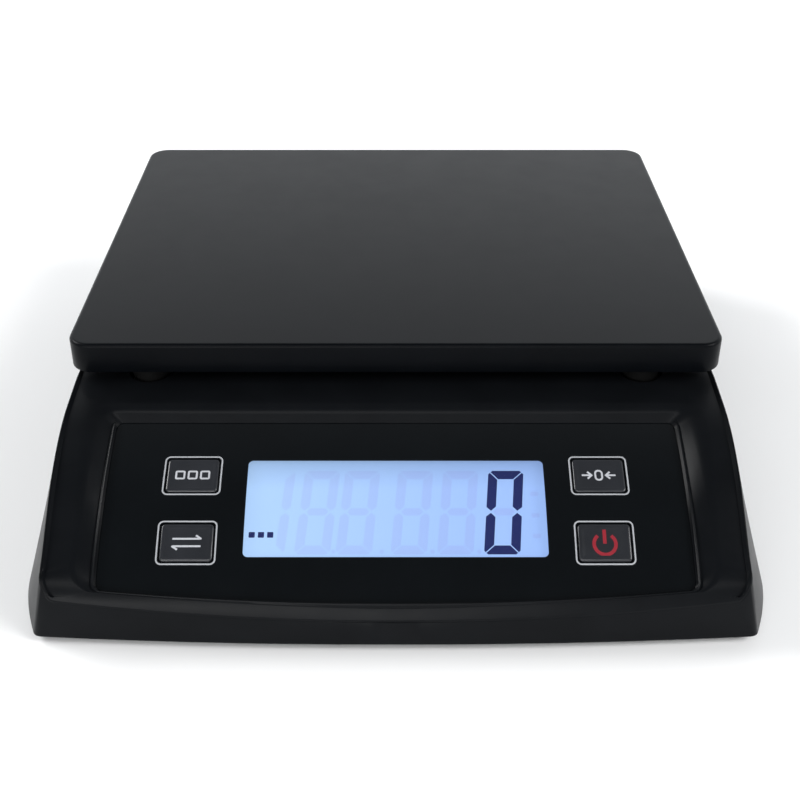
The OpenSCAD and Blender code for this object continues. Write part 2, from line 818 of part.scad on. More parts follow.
module battery_leads() {
  color("#a83232")
  for (dx = [0, 3]) wire([[box_x0 + box_w - 9 + dx, box_y0 - box_wall - 1, 14],
    [box_x0 + box_w - 9 + dx, box_y0 - 12, 12 + dx], [-37 + dx, -44, 12 + dx],
    [-37 + dx, -72, 10 + dx / 2], [-46 + dx, -76, 16 + dx / 2], [-46 + dx, -79, 22]], wire_d);
}

module dc_jack() {
  color("#151515")
  translate([jack_x, back_y, jack_z]) {
    difference() {
      union() {
        translate([-jack_w / 2, -jack_l - 0.5, -jack_h / 2]) cube([jack_w, jack_l - 2.1, jack_h]);
        rotate([90, 0, 0]) translate([0, 0, 0.4]) cylinder(d = jack_face_d, h = 3);
      }
      rotate([90, 0, 0]) cylinder(d = jack_bore_d, h = 10);
    }
    rotate([90, 0, 0]) translate([0, 0, 1.5]) cylinder(d = jack_pin_d, h = 9.5, $fn = 24);
  }
}

module jack_leads() {
  color("#222222")
  for (dx = [0, 3]) wire([[jack_x - 2 + dx, back_y - jack_l - 0.8, 15],
    [jack_x - 2 + dx, 105, 12], [48 + dx, 80, 10], [48 + dx, -20, 10], [60 + dx, -50, 10],
    [71 + dx, -72, 12], [72.5 + dx, -79, 22]], wire_d);
}

module load_cell_cable() {
  color("#6b6e72")
  wire([[cell_w / 2 + 0.5, platform_y, 30], [cell_w / 2 + 8, platform_y - 6, 26],
    [36, platform_y - 24, 14], [36, -20, 12], [30, -48, 13], [26, -68, 14], [26, -77, 21]], 3);
}

module feet() {
  color("#111214")
  foot_places() {
    difference() {
      cylinder(d = foot_d, h = tray_z - 0.01);
      translate([0, 0, -eps]) cylinder(d = foot_d - 10, h = 0.6);
    }
    cylinder(d = foot_stem_d - 0.1, h = tray_top + 2);
    translate([0, 0, tray_top + 2.05]) cylinder(d = foot_stem_d + 1.5, h = 1.2);
    translate([0, 0, tray_top]) cylinder(d = foot_stem_d - 0.1, h = 2.5);
  }
}

module housing_screws() {
  color("#8e9195")
  housing_screw_places() translate([0, 0, tray_z - 0.2]) screw(screw_d - 0.1, screw_head_d, 1.8, 12);
}

base_tray();
upper_housing();
panel_film();
lcd_window();
lcd_glass();
lcd_holder();
backlight_panel();
lcd_connectors();
main_board();
board_chips();
board_shield();
board_capacitors();
board_sockets();
buzzer();
board_screws();
key_switches();
count_key();
unit_key();
tare_key();
power_key();
count_button();
unit_button();
tare_button();
power_button();
load_cell();
gauge_seal();
cell_plate();
cell_lower_spacer();
cell_lower_screws();
cell_upper_spacer();
cell_upper_screws();
platform_support();
support_caps();
stop_screws();
stop_nuts();
weighing_platform();
battery_door();
batteries();
battery_springs();
battery_plates();
battery_leads();
dc_jack();
jack_leads();
load_cell_cable();
feet();
housing_screws();
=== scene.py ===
import json
import math

import bmesh
import bpy
from mathutils import Matrix, Vector
from mathutils.geometry import delaunay_2d_cdt


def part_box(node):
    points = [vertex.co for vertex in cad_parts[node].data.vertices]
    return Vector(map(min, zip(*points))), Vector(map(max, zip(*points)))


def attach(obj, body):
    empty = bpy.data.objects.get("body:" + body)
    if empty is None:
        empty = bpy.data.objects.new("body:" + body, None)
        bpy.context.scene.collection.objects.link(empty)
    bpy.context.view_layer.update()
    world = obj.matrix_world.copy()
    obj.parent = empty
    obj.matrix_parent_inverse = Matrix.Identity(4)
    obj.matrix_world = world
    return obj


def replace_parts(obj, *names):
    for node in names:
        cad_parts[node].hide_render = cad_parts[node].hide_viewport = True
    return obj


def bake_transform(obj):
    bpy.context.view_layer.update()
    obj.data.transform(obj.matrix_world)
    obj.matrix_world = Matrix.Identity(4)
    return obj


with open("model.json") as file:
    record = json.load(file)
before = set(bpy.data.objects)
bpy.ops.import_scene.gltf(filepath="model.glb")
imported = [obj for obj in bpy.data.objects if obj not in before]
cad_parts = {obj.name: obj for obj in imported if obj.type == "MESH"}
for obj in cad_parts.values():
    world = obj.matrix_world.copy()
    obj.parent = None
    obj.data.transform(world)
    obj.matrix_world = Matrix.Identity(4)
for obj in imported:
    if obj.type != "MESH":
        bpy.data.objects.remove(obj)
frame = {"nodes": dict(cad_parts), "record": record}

NODES = frame["nodes"]
BODY_OF = {n: b for b, ns in frame["record"]["behaviour"]["bodies"].items() for n in ns}
SLOT_OF = {s["node"]: s["material_slot"] for s in frame["record"]["subparts"]}
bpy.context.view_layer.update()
MM = 0.001

# ---------------------------------------------------------------- shape of the scale, in mm
# the same driving dimensions as the CAD model
FOOT_GAP = 2.5
BASE_X, FRONT_Y, BACK_Y = 124.5, -129.5, 129.5
RAIL_X, RAIL_BACK_X = 112.5, 112.6
DECK_Y, DECK_Z = -47.0, 51.8
LEAD_Y, LEAD_ANGLE = -62.0, math.radians(5)
ROLL_R, RAMP_ANGLE = 78.0, math.radians(34)
RAMP_END_Y, NOSE_R = -116.0, 43.0
PANEL_Y, PANEL_Z, PANEL_TILT = -94.75, 32.2, math.radians(25.8)
FILM_X, FILM_V, CROWN, BULGE, FILM_R, FILM_T = 95.0, 30.3, 3.1, 3.9, 2.2, 0.4
WINDOW_V, WINDOW_X, WINDOW_L = -2.35, 49.0, 17.35
KEY_X, KEY_ROWS, KEY_W, KEY_L, KEY_R = 67.2, (9.1, -14.9), 17.6, 13.1, 1.2
SHELL = 1.8


def mix(a, b, t):
    return a + (b - a) * t


def ease(t):
    t = min(max(t, 0.0), 1.0)
    return t * t * (3 - 2 * t)


def arc_height(y, cy, cz, r):
    return cz + math.sqrt(max(r * r - (y - cy) ** 2, 0.0))


LEAD_Z = DECK_Z - (DECK_Y - LEAD_Y) * math.tan(LEAD_ANGLE)
ROLL_Y = LEAD_Y + ROLL_R * math.sin(LEAD_ANGLE)
ROLL_Z = LEAD_Z - ROLL_R * math.cos(LEAD_ANGLE)
RAMP_Y = ROLL_Y - ROLL_R * math.sin(RAMP_ANGLE)
RAMP_Z = ROLL_Z + ROLL_R * math.cos(RAMP_ANGLE)
RAMP_END_Z = RAMP_Z - (RAMP_Y - RAMP_END_Y) * math.tan(RAMP_ANGLE)
NOSE_Y = RAMP_END_Y + NOSE_R * math.sin(RAMP_ANGLE)
NOSE_Z = RAMP_END_Z - NOSE_R * math.cos(RAMP_ANGLE)


def deck_height(y):
    """Height of the deck and its sloping front at a place y."""
    if y >= DECK_Y:
        return DECK_Z
    if y >= LEAD_Y:
        return DECK_Z - (DECK_Y - y) * math.tan(LEAD_ANGLE)
    if y >= RAMP_Y:
        return arc_height(y, ROLL_Y, ROLL_Z, ROLL_R)
    if y >= RAMP_END_Y:
        return RAMP_Z - (RAMP_Y - y) * math.tan(RAMP_ANGLE)
    return arc_height(y, NOSE_Y, NOSE_Z, NOSE_R)


def film_height(v):
    """Height of the film's face over the panel's chord at a place v up the slope."""
    return CROWN * (1 - (v / FILM_V) ** 2)


def on_panel(x, v, up=0.0):
    """A point of the panel's frame, up above the film's face, in the row frame."""
    slope = math.atan(-2 * CROWN * v / FILM_V**2)
    pv = v - up * math.sin(slope)
    w = film_height(v) + up * math.cos(slope)
    return in_panel(x, pv, w)


def in_panel(x, v, w):
    c, s = math.cos(PANEL_TILT), math.sin(PANEL_TILT)
    return Vector((x, PANEL_Y + v * c - w * s, PANEL_Z + v * s + w * c))


# ---------------------------------------------------------------- mesh helpers
BENDING = ("load_cell", "gauge_seal")


def finish_mesh(name, mesh, node, material, sharp=35.0):
    """Shades a mesh smooth up to an angle, and lets it ride with its node's body, or, for the load
    cell and its seal, bakes its place into the mesh and leaves it on no body."""
    bm = bmesh.new()
    bm.from_mesh(mesh)
    bmesh.ops.remove_doubles(bm, verts=bm.verts, dist=1e-6)
    bmesh.ops.dissolve_degenerate(bm, dist=1e-7, edges=bm.edges)
    bmesh.ops.recalc_face_normals(bm, faces=bm.faces)
    for f in bm.faces:
        f.smooth = True
    limit = math.radians(sharp)
    for e in bm.edges:
        e.smooth = len(e.link_faces) == 2 and e.calc_face_angle(0.0) < limit
    bm.to_mesh(mesh)
    bm.free()
    obj = bpy.data.objects.new(name, mesh)
    bpy.context.scene.collection.objects.link(obj)
    obj.data.materials.append(material)
    if node in BENDING:
        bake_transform(obj)
    else:
        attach(obj, BODY_OF[node])
    return obj


def mesh_of(name, points, faces):
    mesh = bpy.data.meshes.new(name)
    mesh.from_pydata([Vector(p) * MM for p in points], [], faces)
    mesh.update()
    return mesh


def applied(mesh, *modifiers):
    """The mesh after a row of (type, settings) modifiers."""
    obj = bpy.data.objects.new("work", mesh)
    bpy.context.scene.collection.objects.link(obj)
    for kind, settings in modifiers:
        m = obj.modifiers.new(kind, kind)
        for key, value in settings.items():
            setattr(m, key, value)
    bpy.context.view_layer.update()
    out = bpy.data.meshes.new_from_object(obj.evaluated_get(bpy.context.evaluated_depsgraph_get()))
    bpy.data.objects.remove(obj)
    return out


def cut_by(mesh, cutters):
    """The mesh with each cutter mesh taken out."""
    tools = []
    for cutter in cutters:
        tools.append(bpy.data.objects.new("cutter", cutter))
        bpy.context.scene.collection.objects.link(tools[-1])
    out = applied(mesh, *[("BOOLEAN", {"operation": "DIFFERENCE", "object": tool, "solver": "EXACT"})
                          for tool in tools])
    for tool in tools:
        bpy.data.objects.remove(tool)
    return out


def joined(meshes, name):
    bm = bmesh.new()
    for m in meshes:
        bm.from_mesh(m)
    out = bpy.data.meshes.new(name)
    bm.to_mesh(out)
    bm.free()
    return out


def round_box_outline(w, h, r, steps=8, cx=0.0, cy=0.0):
    """Points round a rounded rectangle, anticlockwise."""
    out = []
    for k, (sx, sy) in enumerate(((1, 1), (-1, 1), (-1, -1), (1, -1))):
        for i in range(steps + 1):
            a = math.pi / 2 * (k + i / steps)
            out.append((cx + sx * (w / 2 - r) + r * math.cos(a), cy + sy * (h / 2 - r) + r * math.sin(a)))
    return out


def round_hole(x, y, r):
    return [(x + r * math.cos(k * math.pi / 24), y + r * math.sin(k * math.pi / 24)) for k in range(48)]


def inside(p, loop):
    hit = False
    for (x0, y0), (x1, y1) in zip(loop, loop[1:] + loop[:1]):
        if (y0 > p[1]) != (y1 > p[1]) and p[0] < x0 + (p[1] - y0) / (y1 - y0) * (x1 - x0):
            hit = not hit
    return hit


def fill(outer, holes=(), rows=()):
    """Triangles of a flat outline with holes. Rows are lines y that the triangles follow."""
    points, edges = [], []
    for loop in (outer, *holes):
        n = len(points)
        points += [Vector(p[:2]) for p in loop]
        edges += [(n + i, n + (i + 1) % len(loop)) for i in range(len(loop))]
    xs = [p[0] for p in outer]
    for y in rows:
        n = len(points)
        points += [Vector((min(xs) - 1, y)), Vector((max(xs) + 1, y))]
        edges.append((n, n + 1))
    got = delaunay_2d_cdt(points, edges, [], 0, 1e-5)
    faces = []
    for f in got[2]:
        mid = [sum(got[0][i][k] for i in f) / len(f) for k in (0, 1)]
        if inside(mid, list(outer)) and not any(inside(mid, list(h)) for h in holes):
            faces.append(list(f))
    return [tuple(p) for p in got[0]], faces


def cover(points, faces, ids, flat, lift, holes=(), dots=()):
    """Fills a ring of points that are already there. flat is the ring in two dimensions, dots are
    more points inside it, and lift gives the place of each new point."""
    at = [Vector(p) for p in flat]
    edges = [(i, (i + 1) % len(flat)) for i in range(len(flat))]
    for h in holes:
        n = len(at)
        at += [Vector(p) for p in h]
        edges += [(n + i, n + (i + 1) % len(h)) for i in range(len(h))]
    at += [Vector(d) for d in dots if inside(d, flat) and not any(inside(d, h) for h in holes)]
    got = delaunay_2d_cdt(at, edges, [], 0, 1e-5)
    place = {}
    for f in got[2]:
        mid = [sum(got[0][i][k] for i in f) / len(f) for k in (0, 1)]
        if not inside(mid, flat) or any(inside(mid, h) for h in holes):
            continue
        for i in f:
            if i not in place:
                source = got[3][i][0] if got[3][i] else -1
                if 0 <= source < len(ids):
                    place[i] = ids[source]
                else:
                    points.append(lift(got[0][i][0], got[0][i][1]))
                    place[i] = len(points) - 1
        faces.append([place[i] for i in f])


def slab(outer, holes, rows, place, low, high):
    """A closed sheet over a flat outline: place(x, y, up) puts its faces at low and high."""
    flat, faces = fill(outer, holes, rows)
    used = sorted({i for f in faces for i in f})
    index = {i: k for k, i in enumerate(used)}
    n = len(used)
    points = [place(*flat[i], high) for i in used] + [place(*flat[i], low) for i in used]
    tops = [[index[i] for i in f] for f in faces]
    area = sum((flat[f[1]][0] - flat[f[0]][0]) * (flat[f[2]][1] - flat[f[0]][1])
               - (flat[f[2]][0] - flat[f[0]][0]) * (flat[f[1]][1] - flat[f[0]][1]) for f in faces)
    if area < 0:
        tops = [t[::-1] for t in tops]
    out = tops + [[i + n for i in t[::-1]] for t in tops]
    count = {}
    for t in tops:
        for a, b in zip(t, t[1:] + t[:1]):
            count[(a, b)] = True
    out += [[b, a, a + n, b + n] for a, b in count if (b, a) not in count]
    return points, out


def fillets(path, cuts, steps):
    """A path of points with its inner corners rounded."""
    out = [path[0]]
    for i in range(1, len(path) - 1):
        before, here, after = path[i - 1], path[i], path[i + 1]
        a, b = before - here, after - here
        cut = min(cuts[i - 1], 0.48 * a.length, 0.48 * b.length)
        p, q = here + a.normalized() * cut, here + b.normalized() * cut
        n = steps[i - 1]
        out += [p * (1 - t) ** 2 + here * 2 * t * (1 - t) + q * t * t for t in (k / n for k in range(n + 1))]
    out.append(path[-1])
    return out


def tube_between(faces, loops):
    """Joins rings of as many points each, one after another, with bands of faces."""
    for a, b in zip(loops, loops[1:]):
        faces += [[a[i], a[(i + 1) % len(a)], b[(i + 1) % len(a)], b[i]] for i in range(len(a))]


def lathe(profile, steps=48, centre=(0, 0)):
    """A mesh turned about an upright axis from (radius, z) points, closed on itself."""
    points, faces = [], []
    n = len(profile)
    for k in range(steps):
        a = 2 * math.pi * k / steps
        points += [(centre[0] + r * math.cos(a), centre[1] + r * math.sin(a), z) for r, z in profile]
        m = (k + 1) % steps
        faces += [[k * n + i, m * n + i, m * n + (i + 1) % n, k * n + (i + 1) % n] for i in range(n)]
    return mesh_of("lathe", points, faces)


# ---------------------------------------------------------------- materials
class Paint:
    """A procedural material: a Principled shader and helpers for what feeds it."""

    def __init__(self, name, colour, rough, **sockets):
        self.mat = bpy.data.materials.new(name)
        self.mat.use_nodes = True
        self.tree = self.mat.node_tree
        self.shader = self.tree.nodes["Principled BSDF"]
        self.colour, self.rough = colour, rough
        self.shader.inputs["Base Color"].default_value = (*colour, 1)
        self.shader.inputs["Roughness"].default_value = rough
        for key, value in sockets.items():
            self.shader.inputs[key.replace("_", " ")].default_value = value
        self.coords = self.tree.nodes.new("ShaderNodeTexCoord").outputs["Object"]
        self.height = None

    def node(self, kind, **values):
        n = self.tree.nodes.new(kind)
        for key, value in values.items():
            if hasattr(n, key):
                setattr(n, key, value)
            else:
                n.inputs[key.replace("_", " ")].default_value = value
        return n

    def noise(self, size_mm, detail=3.0, stretch=(1, 1, 1)):
        """Noise whose lumps are about size_mm across."""
        m = self.node("ShaderNodeMapping", Scale=[s / (size_mm * MM) for s in stretch])
        self.tree.links.new(self.coords, m.inputs["Vector"])
        n = self.node("ShaderNodeTexNoise", Scale=1.0, Detail=detail)
        self.tree.links.new(m.outputs["Vector"], n.inputs["Vector"])
        return n.outputs["Fac"]

    def spread(self, source, low, high, start=0.3, end=0.7):
        r = self.node("ShaderNodeMapRange", From_Min=start, From_Max=end, To_Min=low, To_Max=high)
        self.tree.links.new(source, r.inputs["Value"])
        return r.outputs["Result"]

    def mottle(self, size_mm, amount, detail=4.0):
        """Uneven colour, from darker to lighter by amount."""
        fac = self.spread(self.noise(size_mm, detail), 0.0, 1.0)
        m = self.tree.nodes.new("ShaderNodeMix")
        m.data_type = "RGBA"
        m.inputs["A"].default_value = (*[c * (1 - amount) for c in self.colour], 1)
        m.inputs["B"].default_value = (*[c * (1 + amount) for c in self.colour], 1)
        self.tree.links.new(fac, m.inputs["Factor"])
        self.tree.links.new(m.outputs["Result"], self.shader.inputs["Base Color"])
        return self

    def worn(self, size_mm, amount):
        """Uneven roughness, as handling and moulding leave it."""
        r = self.spread(self.noise(size_mm, 4.0), self.rough - amount, self.rough + amount)
        self.tree.links.new(r, self.shader.inputs["Roughness"])
        return self

    def bump(self, size_mm, depth_mm, detail=2.0, stretch=(1, 1, 1)):
        b = self.node("ShaderNodeBump", Strength=1.0, Distance=depth_mm * MM)
        self.tree.links.new(self.noise(size_mm, detail, stretch), b.inputs["Height"])
        if self.height is not None:
            self.tree.links.new(self.height, b.inputs["Normal"])
        self.height = b.outputs["Normal"]
        self.tree.links.new(self.height, self.shader.inputs["Normal"])
        return self


def moulded(name, colour, rough, grain=0.5, depth=0.012, spec=0.5):
    """Injection-moulded plastic with a fine spark-eroded grain."""
    p = Paint(name, colour, rough, Specular_IOR_Level=spec)
    return p.mottle(18, 0.12).worn(9, 0.02).bump(grain, depth).bump(7, 0.008).mat


def metal(name, colour, rough, stretch=(1, 1, 1), depth=0.006):
    p = Paint(name, colour, rough, Metallic=1.0)
    return p.mottle(6, 0.12).worn(4, 0.08).bump(0.6, depth, 3.0, stretch).mat


def rubber(name, colour, spec=0.35):
    p = Paint(name, colour, 0.72, Specular_IOR_Level=spec)
    return p.mottle(5, 0.2).worn(4, 0.08).bump(0.8, 0.02).mat


def glossy(name, colour, rough=0.12, spec=0.5):
    p = Paint(name, colour, rough, Specular_IOR_Level=spec)
    return p.mottle(25, 0.1).worn(14, rough * 0.25).bump(9, 0.004, 1.0).mat


def ink(name, colour, rough=0.5):
    p = Paint(name, colour, rough, Specular_IOR_Level=0.3)
    return p.mottle(1.5, 0.06).worn(2, 0.06).bump(0.3, 0.004).mat


MATERIALS = {
    "housing_black": moulded("housing_abs", (0.0042, 0.0048, 0.0058), 0.30, 0.45, 0.005, 0.075),
    "base_black": moulded("base_abs", (0.013, 0.013, 0.014), 0.55, 0.7, 0.03, 0.4),
    "platform_black": moulded("platform_abs", (0.0020, 0.0025, 0.0034), 0.34, 0.5, 0.006, 0.06),
    "film_black": glossy("film_gloss", (0.0028, 0.0036, 0.0044), 0.10, 0.35),
    "white_plastic": moulded("holder_plastic", (0.78, 0.78, 0.75), 0.5),
    "light_guide": glossy("light_guide", (0.72, 0.82, 1.0), 0.25),
    "pink_silicone": rubber("strip_silicone", (0.58, 0.22, 0.28)),
    "circuit_board": glossy("solder_mask", (0.02, 0.14, 0.05), 0.3),
    "chip_black": moulded("chip_body", (0.02, 0.02, 0.022), 0.6),
    "tin_plate": metal("tin", (0.62, 0.63, 0.64), 0.35),
    "capacitor_sleeve": glossy("sleeve", (0.05, 0.06, 0.16), 0.35),
    "cream_nylon": moulded("nylon", (0.75, 0.70, 0.58), 0.5),
    "key_grey": moulded("key_satin", (0.0165, 0.0180, 0.0215), 0.24, 0.3, 0.004, 0.5),
    "button_black": moulded("button", (0.015, 0.015, 0.016), 0.45),
    "steel_screw": metal("zinc_steel", (0.48, 0.49, 0.50), 0.38),
    "cell_aluminium": metal("milled_aluminium", (0.72, 0.73, 0.75), 0.32, (1, 8, 1)),
    "white_silicone": rubber("potting", (0.80, 0.79, 0.75)),
    "steel_plate": metal("plated_sheet", (0.40, 0.41, 0.42), 0.4, (8, 1, 1)),
    "cast_aluminium": metal("cast_aluminium", (0.42, 0.43, 0.44), 0.55, (1, 1, 1), 0.03),
    # post_rubber: painted shade, the caps' black rubber is made far darker than the feet's to stand in for
    # the platform's shade over them
    "post_rubber": rubber("post_rubber", (0.003, 0.003, 0.003), 0.10),
    "foot_rubber": rubber("foot_rubber", (0.012, 0.012, 0.013)),
    "battery_jacket": glossy("battery_jacket", (0.30, 0.31, 0.33), 0.3),
    "contact_steel": metal("nickel_steel", (0.70, 0.70, 0.72), 0.2),
    "lead_red": glossy("pvc_red", (0.45, 0.03, 0.03), 0.4),
    "lead_black": glossy("pvc_black", (0.02, 0.02, 0.02), 0.4),
    "cable_grey": glossy("pvc_grey", (0.20, 0.20, 0.21), 0.45),
    "jack_black": glossy("inlet_black", (0.012, 0.012, 0.012), 0.3),
}


def lens_material():
    """Clear polished window: mostly see-through, with a gloss."""
    p = Paint("lens_clear", (0.10, 0.12, 0.17), 0.06, Alpha=0.06, IOR=1.49)
    return p.worn(20, 0.015).bump(12, 0.003, 1.0).mat


def lcd_material(name, near, far, strength):
    """Backlit display: its colour runs from near, at the left, to far, at the right, and a painted
    shade dims it over the uppermost 9 mm, under the window's top edge."""
    p = Paint(name, far, 0.35, Specular_IOR_Level=0.2)
    place = p.node("ShaderNodeSeparateXYZ")
    p.tree.links.new(p.coords, place.inputs["Vector"])
    fac = p.spread(place.outputs["X"], 0.0, 1.0, -WINDOW_X * MM, WINDOW_X * MM)
    m = p.tree.nodes.new("ShaderNodeMix")
    m.data_type = "RGBA"
    m.inputs["A"].default_value = (*near, 1)
    m.inputs["B"].default_value = (*far, 1)
    p.tree.links.new(fac, m.inputs["Factor"])
    p.tree.links.new(m.outputs["Result"], p.shader.inputs["Emission Color"])
    top = (PANEL_Y + 14) * MM
    # painted shade: the glow fades towards the window's top edge, standing in for that edge's soft shadow on
    # the display
    painted_top_shade = p.spread(place.outputs["Y"], strength, strength * 0.72, top - 9 * MM, top)
    p.tree.links.new(painted_top_shade, p.shader.inputs["Emission Strength"])
    p.shader.inputs["Base Color"].default_value = (*[0.25 * c for c in far], 1)
    return p.worn(3, 0.05).bump(0.5, 0.003).mat


MATERIALS["lcd_lens"] = lens_material()
MATERIALS["lcd_cell"] = lcd_material("lcd_lit", (0.45, 0.67, 0.98), (0.32, 0.49, 0.90), 0.93)
INK_WHITE = ink("ink_white", (0.34, 0.35, 0.37))
INK_LEGEND = ink("ink_legend", (0.42, 0.43, 0.46))
INK_RED = ink("ink_red", (0.23, 0.010, 0.020))
SEGMENT_ON = lcd_material("segment_on", (0.006, 0.011, 0.095), (0.006, 0.011, 0.095), 0.9)
SEGMENT_OFF = lcd_material("segment_off", (0.43, 0.61, 0.95), (0.31, 0.44, 0.85), 0.92)


# ---------------------------------------------------------------- upper housing
FLOOR_X, FLOOR_V, FLOOR_R = FILM_X + 0.3, FILM_V + 0.3, 2.5
CREST_X, CREST_BACK_Y, CREST_R = 102.3, -64.3, 5.0
CREST_CORNER, CREST_SIDE_Y = 7.3, -116.7
CREST_FRONT_Y, CREST_FRONT_Z, CREST_BOW = -126.9, 16.4, 2.9
EDGE_SIDE_Y, EDGE_CORNER = -119.3, (5.0, 6.0)
EDGE_FRONT_Y, EDGE_FRONT_Z, EDGE_BOW, EDGE_RISE = -128.8, 12.4, 3.5, 5.2
FOOT_CURVE_Y, FOOT_END_Y, FOOT_BOW, FOOT_BOW_X = -97.0, -124.0, 3.5, 110.5
BACK_EDGE_Y = 128.8
SIDE_R, HEEL_R = 8.0, 12.0
FLOOR_PULL = 1 - 1.2 / FLOOR_X
RUNOUT, DECK_LIP = 6, 8
CORNER_STEPS, SIDE_STEPS, ARC_STEPS, BOW_STEPS = 4, 44, 16, 26
SPAN_STEPS, FLANK_STEPS, HEEL_STEPS, REAR_STEPS = 30, 26, 10, 20
POST_R, POST_HOLE_R = 6.5, 8
JACK_BORE_R = 4.7
DISPLAY_HOLE = (106, 41.4, 1)
# the film's edge: a step up from the floor to a fine ledge
LEDGE = ((0.0, -0.4), (0.05, 0.06), (0.17, 0.08))
LEDGE_ROUNDING = (0.1, 0.06, 0.12)
SKIRT_ROUNDING = (0.2, 0.05, 0.05, 0.05, 0.06, 0.5)
GROOVE_DROP, GROOVE_W, GROOVE_DEPTH = 0.45, 0.55, 0.3
ROUND_STEPS = (1, 2, 3, 6, 3, 1, 1, 1, 1, 2)
INNER = 4


def crest_height(y):
    """Height of the raised border's crest: the nose is a little fuller than the deck line."""
    return deck_height(y) + 1.33 * ease((-112 - y) / 12)


def rounding(y):
    """Cuts for the corners from the film's edge out to the foot: the crest is sharper in front."""
    return (*LEDGE_ROUNDING, mix(1.4, 3.4, ease((y + 118) / 50)), *SKIRT_ROUNDING)


def rail_x(y):
    """Half width of the housing at its outer edge."""
    return mix(RAIL_X, RAIL_BACK_X, ease((y + 92) / 28))


def foot_x(y):
    """Half width of the foot, drawn in towards the front."""
    return BASE_X - 2.8 * (max(FOOT_CURVE_Y - y, 0) / 14.5) ** 1.6


def foot_front(x):
    return FRONT_Y + FOOT_BOW * (x / FOOT_BOW_X) ** 2


def foot_corner():
    """The tight front corner of the foot: its start, its control point and its end."""
    start = Vector((foot_x(FOOT_END_Y), FOOT_END_Y))
    along = start - Vector((foot_x(FOOT_END_Y + 0.1), FOOT_END_Y + 0.1))
    control = start
    while control.y > foot_front(control.x):
        control = control + along * 0.2
    end_x = control.x - 2.0
    return start, control, Vector((end_x, foot_front(end_x)))


def outward(loop, i):
    """Direction out of a clockwise flat ring at its point i."""
    before, after = Vector(loop[max(i - 1, 0)]), Vector(loop[min(i + 1, len(loop) - 1)])
    along = (after - before).normalized()
    return Vector((-along.y, along.x))


def border_sections():
    """Rings of key points round the panel's left half: floor edge, crest, outer edge, foot."""
    out = []
    for i in range(CORNER_STEPS + 1):
        t = i / CORNER_STEPS
        a = math.radians(135 + 45 * t)
        floor = (-FLOOR_X + FLOOR_R * (1 + math.cos(a)), FLOOR_V - FLOOR_R * (1 - math.sin(a)))
        crest = (-CREST_X + CREST_R * (1 + math.cos(a)), CREST_BACK_Y - CREST_R * (1 - math.sin(a)))
        y = mix(CREST_BACK_Y + 10, CREST_BACK_Y - CREST_R, t)
        out.append((floor, (*crest, crest_height(crest[1])), (-rail_x(y), y, deck_height(y)), (-BASE_X, y)))
    side_y = CREST_BACK_Y - CREST_R
    for i in range(1, SIDE_STEPS + 1):
        t = i / SIDE_STEPS
        v = mix(FLOOR_V - FLOOR_R, -FLOOR_V + FLOOR_R, t)
        crest_y, edge_y, foot_y = (mix(side_y, end, t) for end in (CREST_SIDE_Y, EDGE_SIDE_Y, FOOT_END_Y))
        out.append(((-FLOOR_X, v), (-CREST_X, crest_y, crest_height(crest_y)),
                    (-rail_x(edge_y), edge_y, crest_height(edge_y)), (-foot_x(foot_y), foot_y)))
    start, control, end = foot_corner()
    for i in range(1, ARC_STEPS + 1):
        t = i / ARC_STEPS
        a = math.radians(180 + 90 * t)
        floor = (-FLOOR_X + FLOOR_R * (1 + math.cos(a)), -FLOOR_V + FLOOR_R * (1 + math.sin(a)))
        crest_y = CREST_SIDE_Y + CREST_CORNER * math.sin(a)
        crest = (-CREST_X + CREST_CORNER * (1 + math.cos(a)), crest_y, crest_height(crest_y))
        edge = (-RAIL_X + EDGE_CORNER[0] * (1 + math.cos(a)),
                EDGE_SIDE_Y + EDGE_CORNER[1] * math.sin(a),
                mix(crest_height(EDGE_SIDE_Y), EDGE_FRONT_Z + EDGE_RISE, ease(t)))
        foot = start * (1 - t) ** 2 + control * 2 * t * (1 - t) + end * t * t
        out.append((floor, crest, edge, (-foot.x, foot.y)))
    for i in range(1, BOW_STEPS + 1):
        u = 1 - i / BOW_STEPS
        floor = (-(FLOOR_X - FLOOR_R) * u, -FLOOR_V - BULGE * (1 - u * u))
        crest = (-(CREST_X - CREST_CORNER) * u, CREST_FRONT_Y + CREST_BOW * u * u,
                 CREST_FRONT_Z + 3.8 * u**1.5)
        edge = (-(RAIL_X - EDGE_CORNER[0]) * u, EDGE_FRONT_Y + EDGE_BOW * u * u,
                EDGE_FRONT_Z + EDGE_RISE * u * u)
        out.append((floor, crest, edge, (-end.x * u, foot_front(end.x * u))))
    return out


def outer_path(edge, foot):
    """Outer edge, the fine groove under it, foot and the turned-in lip."""
    edge, foot = Vector(edge), Vector((*foot, FOOT_GAP))
    inward = Vector((edge.x - foot.x, edge.y - foot.y, 0)).normalized()
    down = (foot - edge).normalized()
    top, low = edge + down * GROOVE_DROP, edge + down * (GROOVE_DROP + GROOVE_W)
    return [edge, top, top + inward * GROOVE_DEPTH, low + inward * GROOVE_DEPTH, low, foot, foot + inward * 2]


def floor_point(x, v):
    return on_panel(x, v, -FILM_T)


def panel_path(loop, i):
    """The floor's inner line and the ledge outside the film, at point i of the floor's ring."""
    x, v = loop[i]
    side = outward(loop, i)
    return [floor_point(x * FLOOR_PULL, v * FLOOR_PULL),
            *(on_panel(x + side.x * d, v + side.y * d, up) for d, up in LEDGE)]


def flipped(p):
    return Vector((-p[0], *p[1:]))


def front_rows():
    """Paths across the border from the panel's floor to the foot, from left to right round the
    front, and the floor's line where they start."""
    left = border_sections()
    ring = [section[0] for section in left]
    rows, inner = [], []
    for i, (floor, crest, edge, foot) in enumerate(left):
        path = [*panel_path(ring, i), Vector(crest), *outer_path(edge, foot)]
        rows.append(fillets(path, rounding(crest[1]), ROUND_STEPS))
        inner.append((floor[0] * FLOOR_PULL, floor[1] * FLOOR_PULL))
    rows += [[flipped(p) for p in r] for r in rows[-2::-1]]
    inner += [(-x, v) for x, v in inner[-2::-1]]
    return rows, inner


